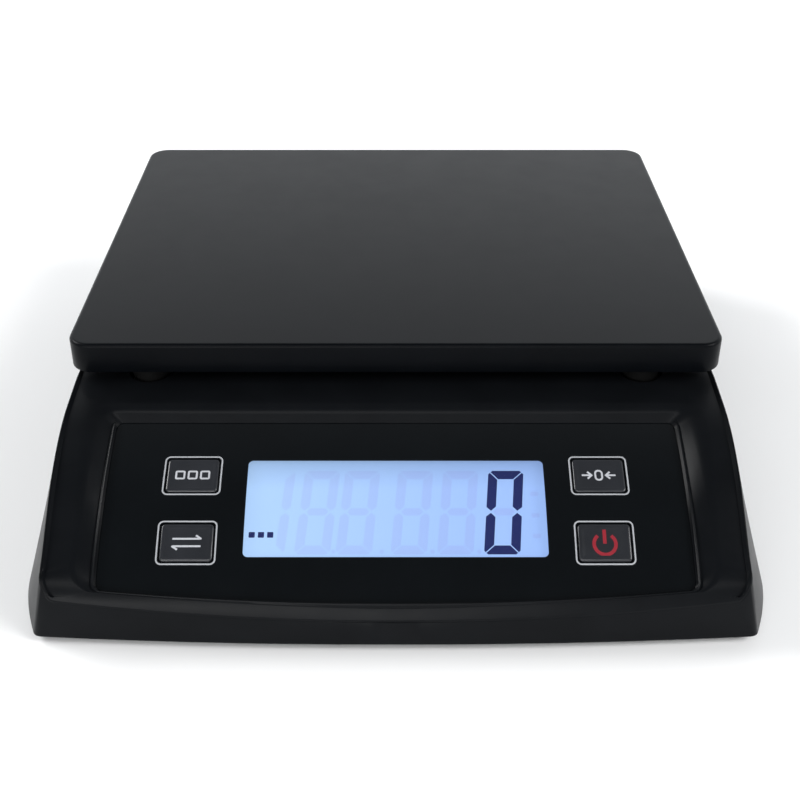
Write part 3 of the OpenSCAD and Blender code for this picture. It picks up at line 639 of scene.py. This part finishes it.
def back_rows():
    """Paths behind the panel, where the border's crest runs out into the deck, from right to left,
    and the floor's line where they start."""
    half = []
    for i in range(1, CORNER_STEPS + 1):
        a = math.radians(135 - 45 * i / CORNER_STEPS)
        half.append((-FLOOR_X + FLOOR_R * (1 + math.cos(a)), FLOOR_V - FLOOR_R * (1 - math.sin(a)),
                     -CREST_X + CREST_R * (1 + math.cos(a)), CREST_BACK_Y - CREST_R * (1 - math.sin(a)), a))
    for i in range(1, SPAN_STEPS + 1):
        t = i / SPAN_STEPS
        half.append((mix(-FLOOR_X + FLOOR_R, 0, t), FLOOR_V, mix(-CREST_X + CREST_R, 0, t), CREST_BACK_Y,
                     math.pi / 2))
    half += [(-x, v, -crest_x, y, math.pi - a) for x, v, crest_x, y, a in half[-2::-1]]
    ring = [(x, v) for x, v, _, _, _ in half]
    rows, inner = [], []
    for i, (x, v, crest_x, y, a) in enumerate(half):
        behind_y = y + RUNOUT * math.sin(a)
        path = [*panel_path(ring, i), Vector((crest_x, y, crest_height(y))),
                Vector((crest_x + RUNOUT * math.cos(a), behind_y, deck_height(behind_y)))]
        rows.append(fillets(path, rounding(y)[:INNER], ROUND_STEPS[:INNER])[:-1])
        inner.append((x * FLOOR_PULL, v * FLOOR_PULL))
    return rows[::-1], inner[::-1]


def rear_rows():
    """Paths from the deck's edge to the foot, under the platform, from the right round to the left."""
    first_y = CREST_BACK_Y + 10
    around = []
    for i in range(1, FLANK_STEPS + 1):
        t = i / FLANK_STEPS
        y = mix(first_y, BACK_EDGE_Y - SIDE_R, t)
        around.append(((rail_x(y), y, deck_height(y)), (BASE_X, mix(first_y, BACK_Y - HEEL_R, t))))
    for i in range(1, HEEL_STEPS + 1):
        a = math.pi / 2 * i / HEEL_STEPS
        in_x, in_y = 1 - math.cos(a), 1 - math.sin(a)
        around.append(((RAIL_BACK_X - SIDE_R * in_x, BACK_EDGE_Y - SIDE_R * in_y, DECK_Z),
                       (BASE_X - HEEL_R * in_x, BACK_Y - HEEL_R * in_y)))
    for i in range(1, REAR_STEPS + 1):
        t = i / REAR_STEPS
        around.append(((mix(RAIL_BACK_X - SIDE_R, 0, t), BACK_EDGE_Y, DECK_Z),
                       (mix(BASE_X - HEEL_R, 0, t), BACK_Y)))
    around += [((-e[0], e[1], e[2]), (-f[0], f[1])) for e, f in around[-2::-1]]
    rows = []
    for edge, foot in around:
        e = Vector(edge)
        inward = Vector((e.x - foot[0], e.y - foot[1], 0)).normalized()
        path = [e + inward * DECK_LIP, *outer_path(edge, foot)]
        rows.append(fillets(path, SKIRT_ROUNDING, ROUND_STEPS[INNER:])[1:])
    return rows


def post_places():
    """The centres of the four posts, from the box round their caps."""
    low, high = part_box("support_caps")
    return [(x, y) for x in (low.x / MM + POST_R, high.x / MM - POST_R)
            for y in (low.y / MM + POST_R, high.y / MM - POST_R)]


def facing_out(mesh):
    """Turns every face of an open skin outwards, which is up at its top."""
    bm = bmesh.new()
    bm.from_mesh(mesh)
    bmesh.ops.recalc_face_normals(bm, faces=bm.faces)
    top = max(bm.faces, key=lambda f: f.calc_center_median().z)
    if top.normal.z < 0:
        bmesh.ops.reverse_faces(bm, faces=bm.faces)
    bm.to_mesh(mesh)
    bm.free()


def jack_bore():
    """What the power inlet's hole takes out of the back wall."""
    low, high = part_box("dc_jack")
    bore = lathe([(0.001, -8), (JACK_BORE_R, -8), (JACK_BORE_R, 8), (0.001, 8)], 48)
    place = Vector(((low.x + high.x) / 2, BACK_Y * MM, (low.z + high.z) / 2))
    bore.transform(Matrix.Translation(place) @ Matrix.Rotation(math.pi / 2, 4, "X"))
    return bore


def build_housing():
    rows, front_floor = front_rows()
    back, back_floor = back_rows()
    rear = rear_rows()
    wraps = 1 + sum(n + 1 for n in ROUND_STEPS[:INNER])
    points, faces = [], []

    def add(ring):
        points.extend(ring)
        return list(range(len(points) - len(ring), len(points)))

    front_ids = [add(r) for r in rows]
    back_ids = [add(r) for r in back]
    rear_ids = [add(r) for r in rear]
    inner_ring = [front_ids[-1][:wraps], *back_ids, front_ids[0][:wraps]]
    outer_ring = [front_ids[-1][wraps:], *rear_ids, front_ids[0][wraps:]]
    for run in (front_ids, inner_ring, outer_ring):
        for a, b in zip(run, run[1:]):
            faces += [[a[i], a[i + 1], b[i + 1], b[i]] for i in range(len(a) - 1)]

    floor_ids = [r[0] for r in front_ids] + [r[0] for r in back_ids]
    windows = [round_box_outline(*DISPLAY_HOLE, 4, 0, WINDOW_V)]
    windows += [round_box_outline(KEY_W, KEY_L, KEY_R, 4, s * KEY_X, v) for s in (-1, 1) for v in KEY_ROWS]
    dots = [(x * 6.0, v * 3.0) for x in range(-15, 16) for v in range(-11, 11)]
    cover(points, faces, floor_ids, front_floor + back_floor, floor_point, windows, dots)

    deck_ids = ([front_ids[-1][wraps - 1]] + [r[-1] for r in back_ids] + [front_ids[0][wraps - 1]]
                + [front_ids[0][wraps]] + [r[0] for r in reversed(rear_ids)] + [front_ids[-1][wraps]])
    deck_flat = [tuple(points[i][:2]) for i in deck_ids]
    holes = [round_hole(x, y, POST_HOLE_R) for x, y in post_places()]
    bend_ys = (-61, -59.5, -58, -56, -54, -52, -50, -48.5, -47, -45, -40)
    dots = [(x * 5.0, y) for x in range(-21, 22) for y in bend_ys]
    dots += [(x * 10.0, y * 10.0) for x in range(-10, 11) for y in range(-3, 13)]
    cover(points, faces, deck_ids, deck_flat, lambda x, y: Vector((x, y, deck_height(y))), holes, dots)

    mesh = mesh_of("upper_housing_skin", points, faces)
    facing_out(mesh)
    thick = {"thickness": SHELL * MM, "offset": -1.0, "use_even_offset": False}
    shell = cut_by(applied(mesh, ("SOLIDIFY", thick)), [jack_bore()])
    piece = finish_mesh("upper_housing_shell", shell, "upper_housing", MATERIALS["housing_black"])
    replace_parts(piece, "upper_housing")


build_housing()


# ---------------------------------------------------------------- film, window and display
WINDOW_R, WINDOW_FIT = 1.6, 0.1
PRINT_W, PRINT_L, PRINT_R, PRINT_LINE = 19.3, 14.8, 1.85, 0.5


def key_centres():
    return {"count_key": (-KEY_X, KEY_ROWS[0]), "unit_key": (-KEY_X, KEY_ROWS[1]),
            "tare_key": (KEY_X, KEY_ROWS[0]), "power_key": (KEY_X, KEY_ROWS[1])}


def film_outline():
    half = FILM_X - FILM_R
    back = round_box_outline(2 * FILM_X, 2 * FILM_V, FILM_R, 6)[:14]
    corner = [math.radians(180 + 15 * i) for i in range(7)]
    left = [(-half + FILM_R * math.cos(a), -FILM_V + FILM_R + FILM_R * math.sin(a)) for a in corner[:-1]]
    front = [(half * i / 30, -FILM_V - BULGE * (1 - (i / 30) ** 2)) for i in range(-30, 31)]
    right = [(-x, v) for x, v in left[::-1]]
    return back + left + front + right


def rows_between(low, high, pitch):
    n = max(1, round((high - low) / pitch))
    return [low + (high - low) * i / n for i in range(1, n)]


def curved_sheet(name, outer, holes, low, high, pitch=1.2):
    """A sheet that follows the panel's crown, from low to high over the film's face."""
    vs = [v for _, v in outer]
    return mesh_of(name, *slab(outer, holes, rows_between(min(vs), max(vs), pitch), on_panel, low, high))


def build_film():
    holes = [round_box_outline(2 * WINDOW_X, 2 * WINDOW_L, WINDOW_R, 6, 0, WINDOW_V)]
    holes += [round_box_outline(KEY_W, KEY_L, KEY_R, 6, x, v) for x, v in key_centres().values()]
    mesh = curved_sheet("panel_film_sheet", film_outline(), holes, -FILM_T, 0.0, 0.8)
    film = finish_mesh("panel_film_sheet", mesh, "panel_film", MATERIALS["film_black"], 30)
    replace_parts(film, "panel_film")
    for name, (x, v) in key_centres().items():
        outer = round_box_outline(PRINT_W, PRINT_L, PRINT_R, 8, x, v)
        inner = round_box_outline(PRINT_W - 2 * PRINT_LINE, PRINT_L - 2 * PRINT_LINE,
                                  PRINT_R - PRINT_LINE, 8, x, v)
        ring = curved_sheet(name + "_outline", outer, [inner], 0.004, 0.05)
        finish_mesh(name + "_outline", ring, "panel_film", INK_WHITE, 30)


def build_window():
    width, length = 2 * WINDOW_X - WINDOW_FIT, 2 * WINDOW_L - WINDOW_FIT
    outline = round_box_outline(width, length, WINDOW_R, 6, 0, WINDOW_V)
    mesh = curved_sheet("window_lens", outline, [], -1.2, -0.01, 0.8)
    lens = finish_mesh("window_lens", mesh, "lcd_window", MATERIALS["lcd_lens"], 30)
    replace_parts(lens, "lcd_window")


# the display glass, and the digits from the lower left corner of each
GLASS_W, GLASS_L, GLASS_R, GLASS_TOP = 103, 38.5, 0.4, 0.1
GLASS_PROFILE = ((0.15, -2.4), (0.0, -2.25), (0.0, -0.12), (0.12, 0.0))
DIGIT_W, DIGIT_H, STROKE, LEAN = 11.7, 30.2, 3.1, 0.086
DIGIT_V = -18.05
DIGITS = (-32.8, -19.4, -1.7, 13.3, 28.4)
LEADING_ONE = -47.6


def segments():
    """The seven segments of a digit as outlines, from its lower left corner."""
    w, h, s = DIGIT_W, DIGIT_H, STROKE
    m, k = h / 2, s * 0.42
    bar = [(0.75, h - 0.5), (1.35, h), (w - 1.35, h), (w - 0.75, h - 0.5), (w - s - 0.25, h - s),
           (s + 0.25, h - s)]
    side = [(0, h - 1.35), (0.5, h - 0.75), (s, h - s - 0.25), (s, m + 1.9), (s / 2, m + 0.4), (0, m + 1.7)]
    middle = [(s / 2 + 0.7, m), (s + 0.2, m + k), (w - s - 0.2, m + k), (w - s / 2 - 0.7, m),
              (w - s - 0.2, m - k), (s + 0.2, m - k)]
    across = [(w - x, y) for x, y in side]
    return {"top": bar, "bottom": [(x, h - y) for x, y in bar],
            "upper_left": side, "upper_right": across,
            "lower_left": [(x, h - y) for x, y in side], "lower_right": [(x, h - y) for x, y in across],
            "middle": middle}


def display_marks(name, outlines, material, high):
    """Flat marks on the face of the display glass."""
    meshes = []
    for o in outlines:
        points, faces = slab(o, [], [], lambda x, v, up: in_panel(x, v, GLASS_TOP + up), 0.005, high)
        meshes.append(mesh_of("mark", points, faces))
    finish_mesh(name, joined(meshes, name), "lcd_glass", material, 20)


def build_display():
    points, faces, loops = [], [], []
    for inset, up in GLASS_PROFILE:
        ring = round_box_outline(GLASS_W - 2 * inset, GLASS_L - 2 * inset, GLASS_R, 3, 0, WINDOW_V)
        loops.append(list(range(len(points), len(points) + len(ring))))
        points += [in_panel(x, v, GLASS_TOP + up) for x, v in ring]
    tube_between(faces, loops)
    faces += [loops[0][::-1], loops[-1]]
    mesh = mesh_of("display_glass", points, faces)
    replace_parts(finish_mesh("display_glass", mesh, "lcd_glass", MATERIALS["lcd_cell"], 30), "lcd_glass")

    shapes = segments()

    def digit(x0, names):
        return [[(x0 + x + LEAN * y, DIGIT_V + y) for x, y in shapes[n]] for n in names]

    zero = ("top", "bottom", "upper_left", "upper_right", "lower_left", "lower_right")
    display_marks("display_digit", digit(DIGITS[-1], zero), SEGMENT_ON, 0.05)
    count = [round_box_outline(2.0, 2.0, 0.25, 2, -46.7 + 3.0 * i, -11.2) for i in range(3)]
    display_marks("display_count_mark", count, SEGMENT_ON, 0.05)
    ghosts = digit(DIGITS[-1], ("middle",)) + digit(LEADING_ONE, ("upper_right", "lower_right"))
    for x0 in DIGITS[:-1]:
        ghosts += digit(x0, shapes)
    for a, b in zip(DIGITS, DIGITS[1:]):
        x0 = (a + DIGIT_W + b) / 2 + 0.2
        ghosts.append(round_box_outline(1.3, 1.3, 0.2, 2, x0, DIGIT_V + 1.0))
    for v in (3.6, -4.2, -11.6):
        ghosts.append(round_box_outline(2.6, 1.6, 0.4, 2, 45.8, v))
    display_marks("display_idle_marks", ghosts, SEGMENT_OFF, 0.03)


# ---------------------------------------------------------------- keys
# (inset, height over the film's face) round a key: its wall, its raised border and its sunk face
KEY_PROFILE = ((0.25, -3.0), (0.25, -0.40), (0.30, -0.20), (0.42, -0.02), (0.62, 0.11), (0.90, 0.18),
               (1.20, 0.20), (1.55, 0.17), (1.95, 0.10), (2.35, 0.05), (2.8, 0.035))
KEY_FACE = 0.03
FACE_R = 0.35
RIM, RIM_T = 2, 1.2
STEM_R, STEM_LOW = 2.5, -4.5


def flange_top(v):
    """Top of the rim under the film that keeps a key in, in the panel frame."""
    return film_height(abs(v) + KEY_L / 2 + 1) - FILM_T - 3.0


def build_key(name):
    x0, v0 = key_centres()[name]
    points, faces, loops = [], [], []
    for inset, up in KEY_PROFILE:
        r = max(KEY_R - inset, 0.0) + FACE_R
        ring = round_box_outline(KEY_W - 2 * inset, KEY_L - 2 * inset, r, 6, x0, v0)
        loops.append(list(range(len(points), len(points) + len(ring))))
        points += [on_panel(x, v, up) for x, v in ring]
    low = flange_top(v0)
    bottom = [in_panel(x, v, low) for x, v in round_box_outline(KEY_W - 0.5, KEY_L - 0.5, 1.3, 6, x0, v0)]
    for i, p in zip(loops[0], bottom):
        points[i] = p
    tube_between(faces, loops)
    last = KEY_PROFILE[-1][0]
    flat = round_box_outline(KEY_W - 2 * last, KEY_L - 2 * last, FACE_R, 6, x0, v0)
    dots = [(x0 + i * 1.4, v0 + k * 1.2) for i in range(-4, 5) for k in range(-3, 4)]
    cover(points, faces, loops[-1], flat, lambda x, v: on_panel(x, v, KEY_FACE), dots=dots)
    faces.append(loops[0][::-1])
    cap = mesh_of("cap", points, faces)
    outline = round_box_outline(KEY_W + RIM, KEY_L + RIM, KEY_R, 6, x0, v0)
    rim = mesh_of("rim", *slab(outline, [], [], in_panel, low - RIM_T, low))
    stem_top = low - 0.5
    stem = lathe([(0.001, STEM_LOW), (STEM_R - 0.25, STEM_LOW), (STEM_R, STEM_LOW + 0.25), (STEM_R, stem_top),
                  (0.001, stem_top)], 32)
    stem.transform(Matrix.Translation(in_panel(x0, v0, 0) * MM) @ Matrix.Rotation(PANEL_TILT, 4, "X"))
    piece = finish_mesh(name + "_cap", joined([cap, rim, stem], name), name, MATERIALS["key_grey"], 40)
    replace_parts(piece, name)


def stroke_path(path, width, closed=False):
    """Outline of a line of a given width through points, with mitred corners."""
    n = len(path)
    sides = ([], [])
    for i in range(n):
        here = Vector(path[i])
        a = Vector(path[i - 1]) if i or closed else None
        b = Vector(path[(i + 1) % n]) if i < n - 1 or closed else None
        ta = (here - a).normalized() if a is not None else (b - here).normalized()
        tb = (b - here).normalized() if b is not None else ta
        t = (ta + tb).normalized()
        normal = Vector((-t.y, t.x)) * (width / 2 / max(t.dot(ta), 0.3))
        sides[0].append(tuple(here + normal))
        sides[1].append(tuple(here - normal))
    return sides


def line(path, width):
    left, right = stroke_path(path, width)
    return (right + left[::-1], [])


def ring_of(loop, width):
    left, right = stroke_path(loop, width, True)
    return (right, [left])


def legend(name, key, shapes, material):
    """A printed legend on a key's face."""
    x0, v0 = key_centres()[key]
    meshes = []
    for outer, holes in shapes:
        outer = [(x0 + x, v0 + v) for x, v in outer]
        holes = [[(x0 + x, v0 + v) for x, v in h] for h in holes]
        vs = [v for _, v in outer]
        rows = rows_between(min(vs), max(vs), 0.9)
        meshes.append(mesh_of("mark", *slab(outer, holes, rows, on_panel, KEY_FACE + 0.004, KEY_FACE + 0.04)))
    finish_mesh(name, joined(meshes, name), key, material, 30)


def build_legends():
    pen = 0.62
    squares = [ring_of(round_box_outline(2.7, 2.7, 0.3, 3, x, 0.1), pen) for x in (-4.1, 0, 4.1)]
    legend("count_legend", "count_key", squares, INK_LEGEND)
    swap = []
    for side in (-1, 1):
        v = side * 1.25
        swap.append(line([(-4.6 * side, v), (4.2 * side, v)], pen))
        swap.append(line([(2.9 * side, v + 1.15 * side), (4.7 * side, v - 0.1 * side)], pen))
    legend("unit_legend", "unit_key", swap, INK_LEGEND)
    zero = [ring_of(round_box_outline(2.2, 3.5, 1.05, 5, 0, 0), pen)]
    for side in (-1, 1):
        zero.append(line([(5.6 * side, 0), (2.6 * side, 0)], pen))
        zero.append(line([(3.7 * side, 1.3), (2.35 * side, 0), (3.7 * side, -1.3)], pen))
    legend("tare_legend", "tare_key", zero, INK_LEGEND)
    gap, broad = 38, 1.15
    arc = [math.radians(90 + gap + (360 - 2 * gap) * i / 40) for i in range(41)]
    power = [line([(3.5 * math.cos(a), 3.5 * math.sin(a) - 0.5) for a in arc], broad),
             line([(0, -0.4), (0, 4.5)], broad)]
    legend("power_legend", "power_key", power, INK_RED)


build_film()
build_window()
build_display()
for key in key_centres():
    build_key(key)
build_legends()


# ---------------------------------------------------------------- weighing platform
PLATFORM_R, PLATFORM_WALL, PLATFORM_TOP_T, TOP_ROUND, DRAFT = 8.0, 2.4, 2.2, 1.3, 0.1
# a rib's half width at heights from the underside of the top
RIB_PROFILE = ((0.7, -3.0), (0.95, -2.7), (1.15, 0.3))
RIB_XS, RIB_YS, RIB_END = (-60, -30, 0, 30, 60), (-55, -20, 20, 55), 1.2
SOCKET_IN, SOCKET_OUT, SOCKET_Z = 6.8, 7.8, 59.0


def platform_rib(a, b, under):
    """Tapered rib under the platform's top, from a to b."""
    a, b = Vector(a), Vector(b)
    along = (b - a).normalized()
    side = Vector((-along.y, along.x))
    points = []
    for half, z in RIB_PROFILE:
        points += [(*(end + side * s * half), under + z) for end, s in ((a, -1), (b, -1), (b, 1), (a, 1))]
    faces = [[3, 2, 1, 0], [8, 9, 10, 11]]
    for k in (0, 4):
        faces += [[k + i, k + (i + 1) % 4, k + 4 + (i + 1) % 4, k + 4 + i] for i in range(4)]
    return mesh_of("rib", points, faces)


def build_platform():
    lo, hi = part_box("weighing_platform")
    x0, x1, y0, y1, z0, z1 = (c / MM for c in (lo.x, hi.x, lo.y, hi.y, lo.z, hi.z))
    w, d, cx, cy = x1 - x0, y1 - y0, (x0 + x1) / 2, (y0 + y1) / 2
    under = z1 - PLATFORM_TOP_T
    outside = [(0.35 - DRAFT, z0), (0.1 - DRAFT, z0 + 0.1), (-DRAFT, z0 + 0.35), (-DRAFT / 2, z0 + 5)]
    outside += [(TOP_ROUND * (1 - math.cos(a)), z1 - TOP_ROUND * (1 - math.sin(a)))
                for a in (math.pi / 2 * k / 9 for k in range(10))]
    outside += [(TOP_ROUND + 0.4, z1), (TOP_ROUND + 2.0, z1)]
    inside_edge = [(PLATFORM_WALL - 0.35, z0), (PLATFORM_WALL, z0 + 0.35), (PLATFORM_WALL, under - 1.0),
                   (PLATFORM_WALL + 0.3, under - 0.3), (PLATFORM_WALL + 1.0, under)]
    points, faces, loops = [], [], []
    for inset, z in inside_edge[::-1] + outside:
        ring = round_box_outline(w - 2 * inset, d - 2 * inset, max(PLATFORM_R - inset, 0.6), 14, cx, cy)
        loops.append(list(range(len(points), len(points) + len(ring))))
        points += [(x, y, z) for x, y in ring]
    tube_between(faces, loops)
    faces += [loops[0][::-1], loops[-1]]
    shell = mesh_of("shell", points, faces)

    meshes = [platform_rib((x, y0 + RIB_END), (x, y1 - RIB_END), under) for x in RIB_XS]
    meshes += [platform_rib((x0 + RIB_END, cy + y), (x1 - RIB_END, cy + y), under) for y in RIB_YS]
    cap_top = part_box("support_caps")[1].z / MM
    bores = []
    for place in post_places():
        wall = [(SOCKET_IN, SOCKET_Z + 0.2), (SOCKET_IN + 0.2, SOCKET_Z), (SOCKET_OUT - 0.2, SOCKET_Z),
                (SOCKET_OUT, SOCKET_Z + 0.2), (SOCKET_OUT, under + 0.3), (SOCKET_IN, under + 0.3)]
        meshes.append(lathe(wall, 56, place))
        bores.append(lathe([(0.001, z0 - 1), (SOCKET_IN, z0 - 1), (SOCKET_IN, cap_top), (0.001, cap_top)],
                           56, place))
    shell = cut_by(shell, bores)
    piece = finish_mesh("platform_moulding", joined([shell, *meshes], "platform"), "weighing_platform",
                        MATERIALS["platform_black"], 32)
    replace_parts(piece, "weighing_platform")


build_platform()


# ---------------------------------------------------------------- the other CAD pieces, with eased edges
BEVELS = {"base_tray": 0.35, "battery_door": 0.3, "feet": 0.7, "housing_screws": 0.22,
          "support_caps": 0.8, "platform_support": 0.5, "load_cell": 0.35, "cell_plate": 0.5,
          "cell_lower_spacer": 0.3, "cell_upper_spacer": 0.3, "cell_lower_screws": 0.3,
          "cell_upper_screws": 0.3, "stop_screws": 0.2, "stop_nuts": 0.25, "batteries": 0.5,
          "battery_springs": 0.0, "battery_plates": 0.1, "battery_leads": 0.0, "dc_jack": 0.25,
          "jack_leads": 0.0, "load_cell_cable": 0.0, "lcd_holder": 0.2, "backlight_panel": 0.3,
          "lcd_connectors": 0.2, "main_board": 0.12, "board_chips": 0.08, "board_shield": 0.15,
          "board_capacitors": 0.4, "board_sockets": 0.2, "buzzer": 0.4, "board_screws": 0.15,
          "key_switches": 0.2, "count_button": 0.25, "unit_button": 0.25, "tare_button": 0.25,
          "power_button": 0.25, "gauge_seal": 0.4}


def refine(node, width):
    """The CAD node's own shape with its flat faces merged and its edges eased."""
    bm = bmesh.new()
    bm.from_mesh(NODES[node].data)
    bmesh.ops.remove_doubles(bm, verts=bm.verts, dist=2e-6)
    bmesh.ops.dissolve_limit(bm, angle_limit=math.radians(1), verts=bm.verts, edges=bm.edges)
    mesh = bpy.data.meshes.new(node + "_finished")
    bm.to_mesh(mesh)
    bm.free()
    if width:
        bevel = {"width": width * MM, "segments": 3, "limit_method": "ANGLE",
                 "angle_limit": math.radians(50), "use_clamp_overlap": True}
        mesh = applied(mesh, ("BEVEL", bevel))
    return mesh


for node, width in BEVELS.items():
    finished = finish_mesh(node + "_finished", refine(node, width), node, MATERIALS[SLOT_OF[node]], 32)
    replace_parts(finished, node)


# ---------------------------------------------------------------- stage, light and camera
FLOOR_HALF = 6.0
# (place, share of the full brightness) along each axis of the sky
UPWARD = ((0.0, 1.0), (0.34, 1.0), (0.52, 0.72), (0.66, 0.36), (0.82, 0.15), (1.0, 0.10))
BACKWARD = ((0.0, 0.3), (0.3, 0.3), (0.55, 0.42), (0.8, 0.78), (0.95, 1.0), (1.0, 1.0))
SIDEWAYS = ((0.0, 0.82), (0.4, 0.92), (0.6, 1.0), (1.0, 1.0))
COOL = (0.94, 0.97, 1.0)
AIM = (0, 0, 0.05)
# place, size and power of each softbox
SOFTBOXES = {"softbox_left": ((-2.4, 0.8, 1.95), (1.5, 1.0), 62),
             "softbox_right": ((2.5, -0.9, 2.1), (1.6, 1.4), 74),
             "softbox_front": ((-0.5, -2.6, 2.5), (3.0, 0.8), 30),
             "softbox_low": ((-0.9, -3.1, 0.45), (2.6, 0.6), 38)}


def build_stage():
    corners = [(x * FLOOR_HALF, y * FLOOR_HALF, 0) for x, y in ((-1, -1), (1, -1), (1, 1), (-1, 1))]
    mesh = bpy.data.meshes.new("studio_floor")
    mesh.from_pydata(corners, [], [[0, 1, 2, 3]])
    floor = bpy.data.objects.new("studio_floor", mesh)
    bpy.context.scene.collection.objects.link(floor)
    p = Paint("studio_paper", (0.92, 0.92, 0.92), 0.9, Specular_IOR_Level=0.0)
    floor.data.materials.append(p.mottle(300, 0.01).mat)


def build_world():
    """Soft white surround: bright round the back, dimmer in front and overhead."""
    world = bpy.data.worlds.new("studio")
    world.use_nodes = True
    tree = world.node_tree
    background = tree.nodes["Background"]
    coords = tree.nodes.new("ShaderNodeTexCoord")
    split = tree.nodes.new("ShaderNodeSeparateXYZ")
    tree.links.new(coords.outputs["Generated"], split.inputs["Vector"])

    def ramp(source, stops, tint=(1, 1, 1)):
        node = tree.nodes.new("ShaderNodeValToRGB")
        tree.links.new(source, node.inputs["Fac"])
        elements = node.color_ramp.elements
        elements[0].position, elements[1].position = stops[0][0], stops[-1][0]
        for at, _ in stops[1:-1]:
            elements.new(at)
        for element, (_, value) in zip(elements, stops):
            element.color = (*[value * c for c in tint], 1)
        return node.outputs["Color"]

    def shifted(source):
        node = tree.nodes.new("ShaderNodeMapRange")
        node.inputs["From Min"].default_value = -1.0
        tree.links.new(source, node.inputs["Value"])
        return node.outputs["Result"]

    def times(a, b):
        node = tree.nodes.new("ShaderNodeMix")
        node.data_type, node.blend_type = "RGBA", "MULTIPLY"
        node.inputs["Factor"].default_value = 1.0
        tree.links.new(a, node.inputs["A"])
        tree.links.new(b, node.inputs["B"])
        return node.outputs["Result"]

    upward = ramp(split.outputs["Z"], UPWARD)
    backward = ramp(shifted(split.outputs["Y"]), BACKWARD, COOL)
    sideways = ramp(shifted(split.outputs["X"]), SIDEWAYS)
    tree.links.new(times(times(upward, backward), sideways), background.inputs["Color"])
    background.inputs["Strength"].default_value = 2.2
    bpy.context.scene.world = world


def build_light(name, place, size, power):
    """A rectangular softbox that faces the scale."""
    data = bpy.data.lights.new(name, "AREA")
    data.shape = "RECTANGLE"
    data.size, data.size_y = size
    data.energy = power
    light = bpy.data.objects.new(name, data)
    light.location = place
    light.rotation_euler = (Vector(AIM) - Vector(place)).to_track_quat("-Z", "Y").to_euler()
    bpy.context.scene.collection.objects.link(light)


def build_camera():
    data = bpy.data.cameras.new("camera")
    data.lens = 53.955
    data.sensor_width = 36
    data.shift_x = 0.0054
    data.clip_start = 0.01
    camera = bpy.data.objects.new("camera", data)
    camera.location = (0, -0.4059, 0.2775)
    camera.rotation_euler = (math.radians(56.7), 0, 0)
    bpy.context.scene.collection.objects.link(camera)
    bpy.context.scene.camera = camera


build_stage()
build_world()
for name, (place, size, power) in SOFTBOXES.items():
    build_light(name, place, size, power)
build_camera()
bpy.context.scene.view_settings.view_transform = "Standard"
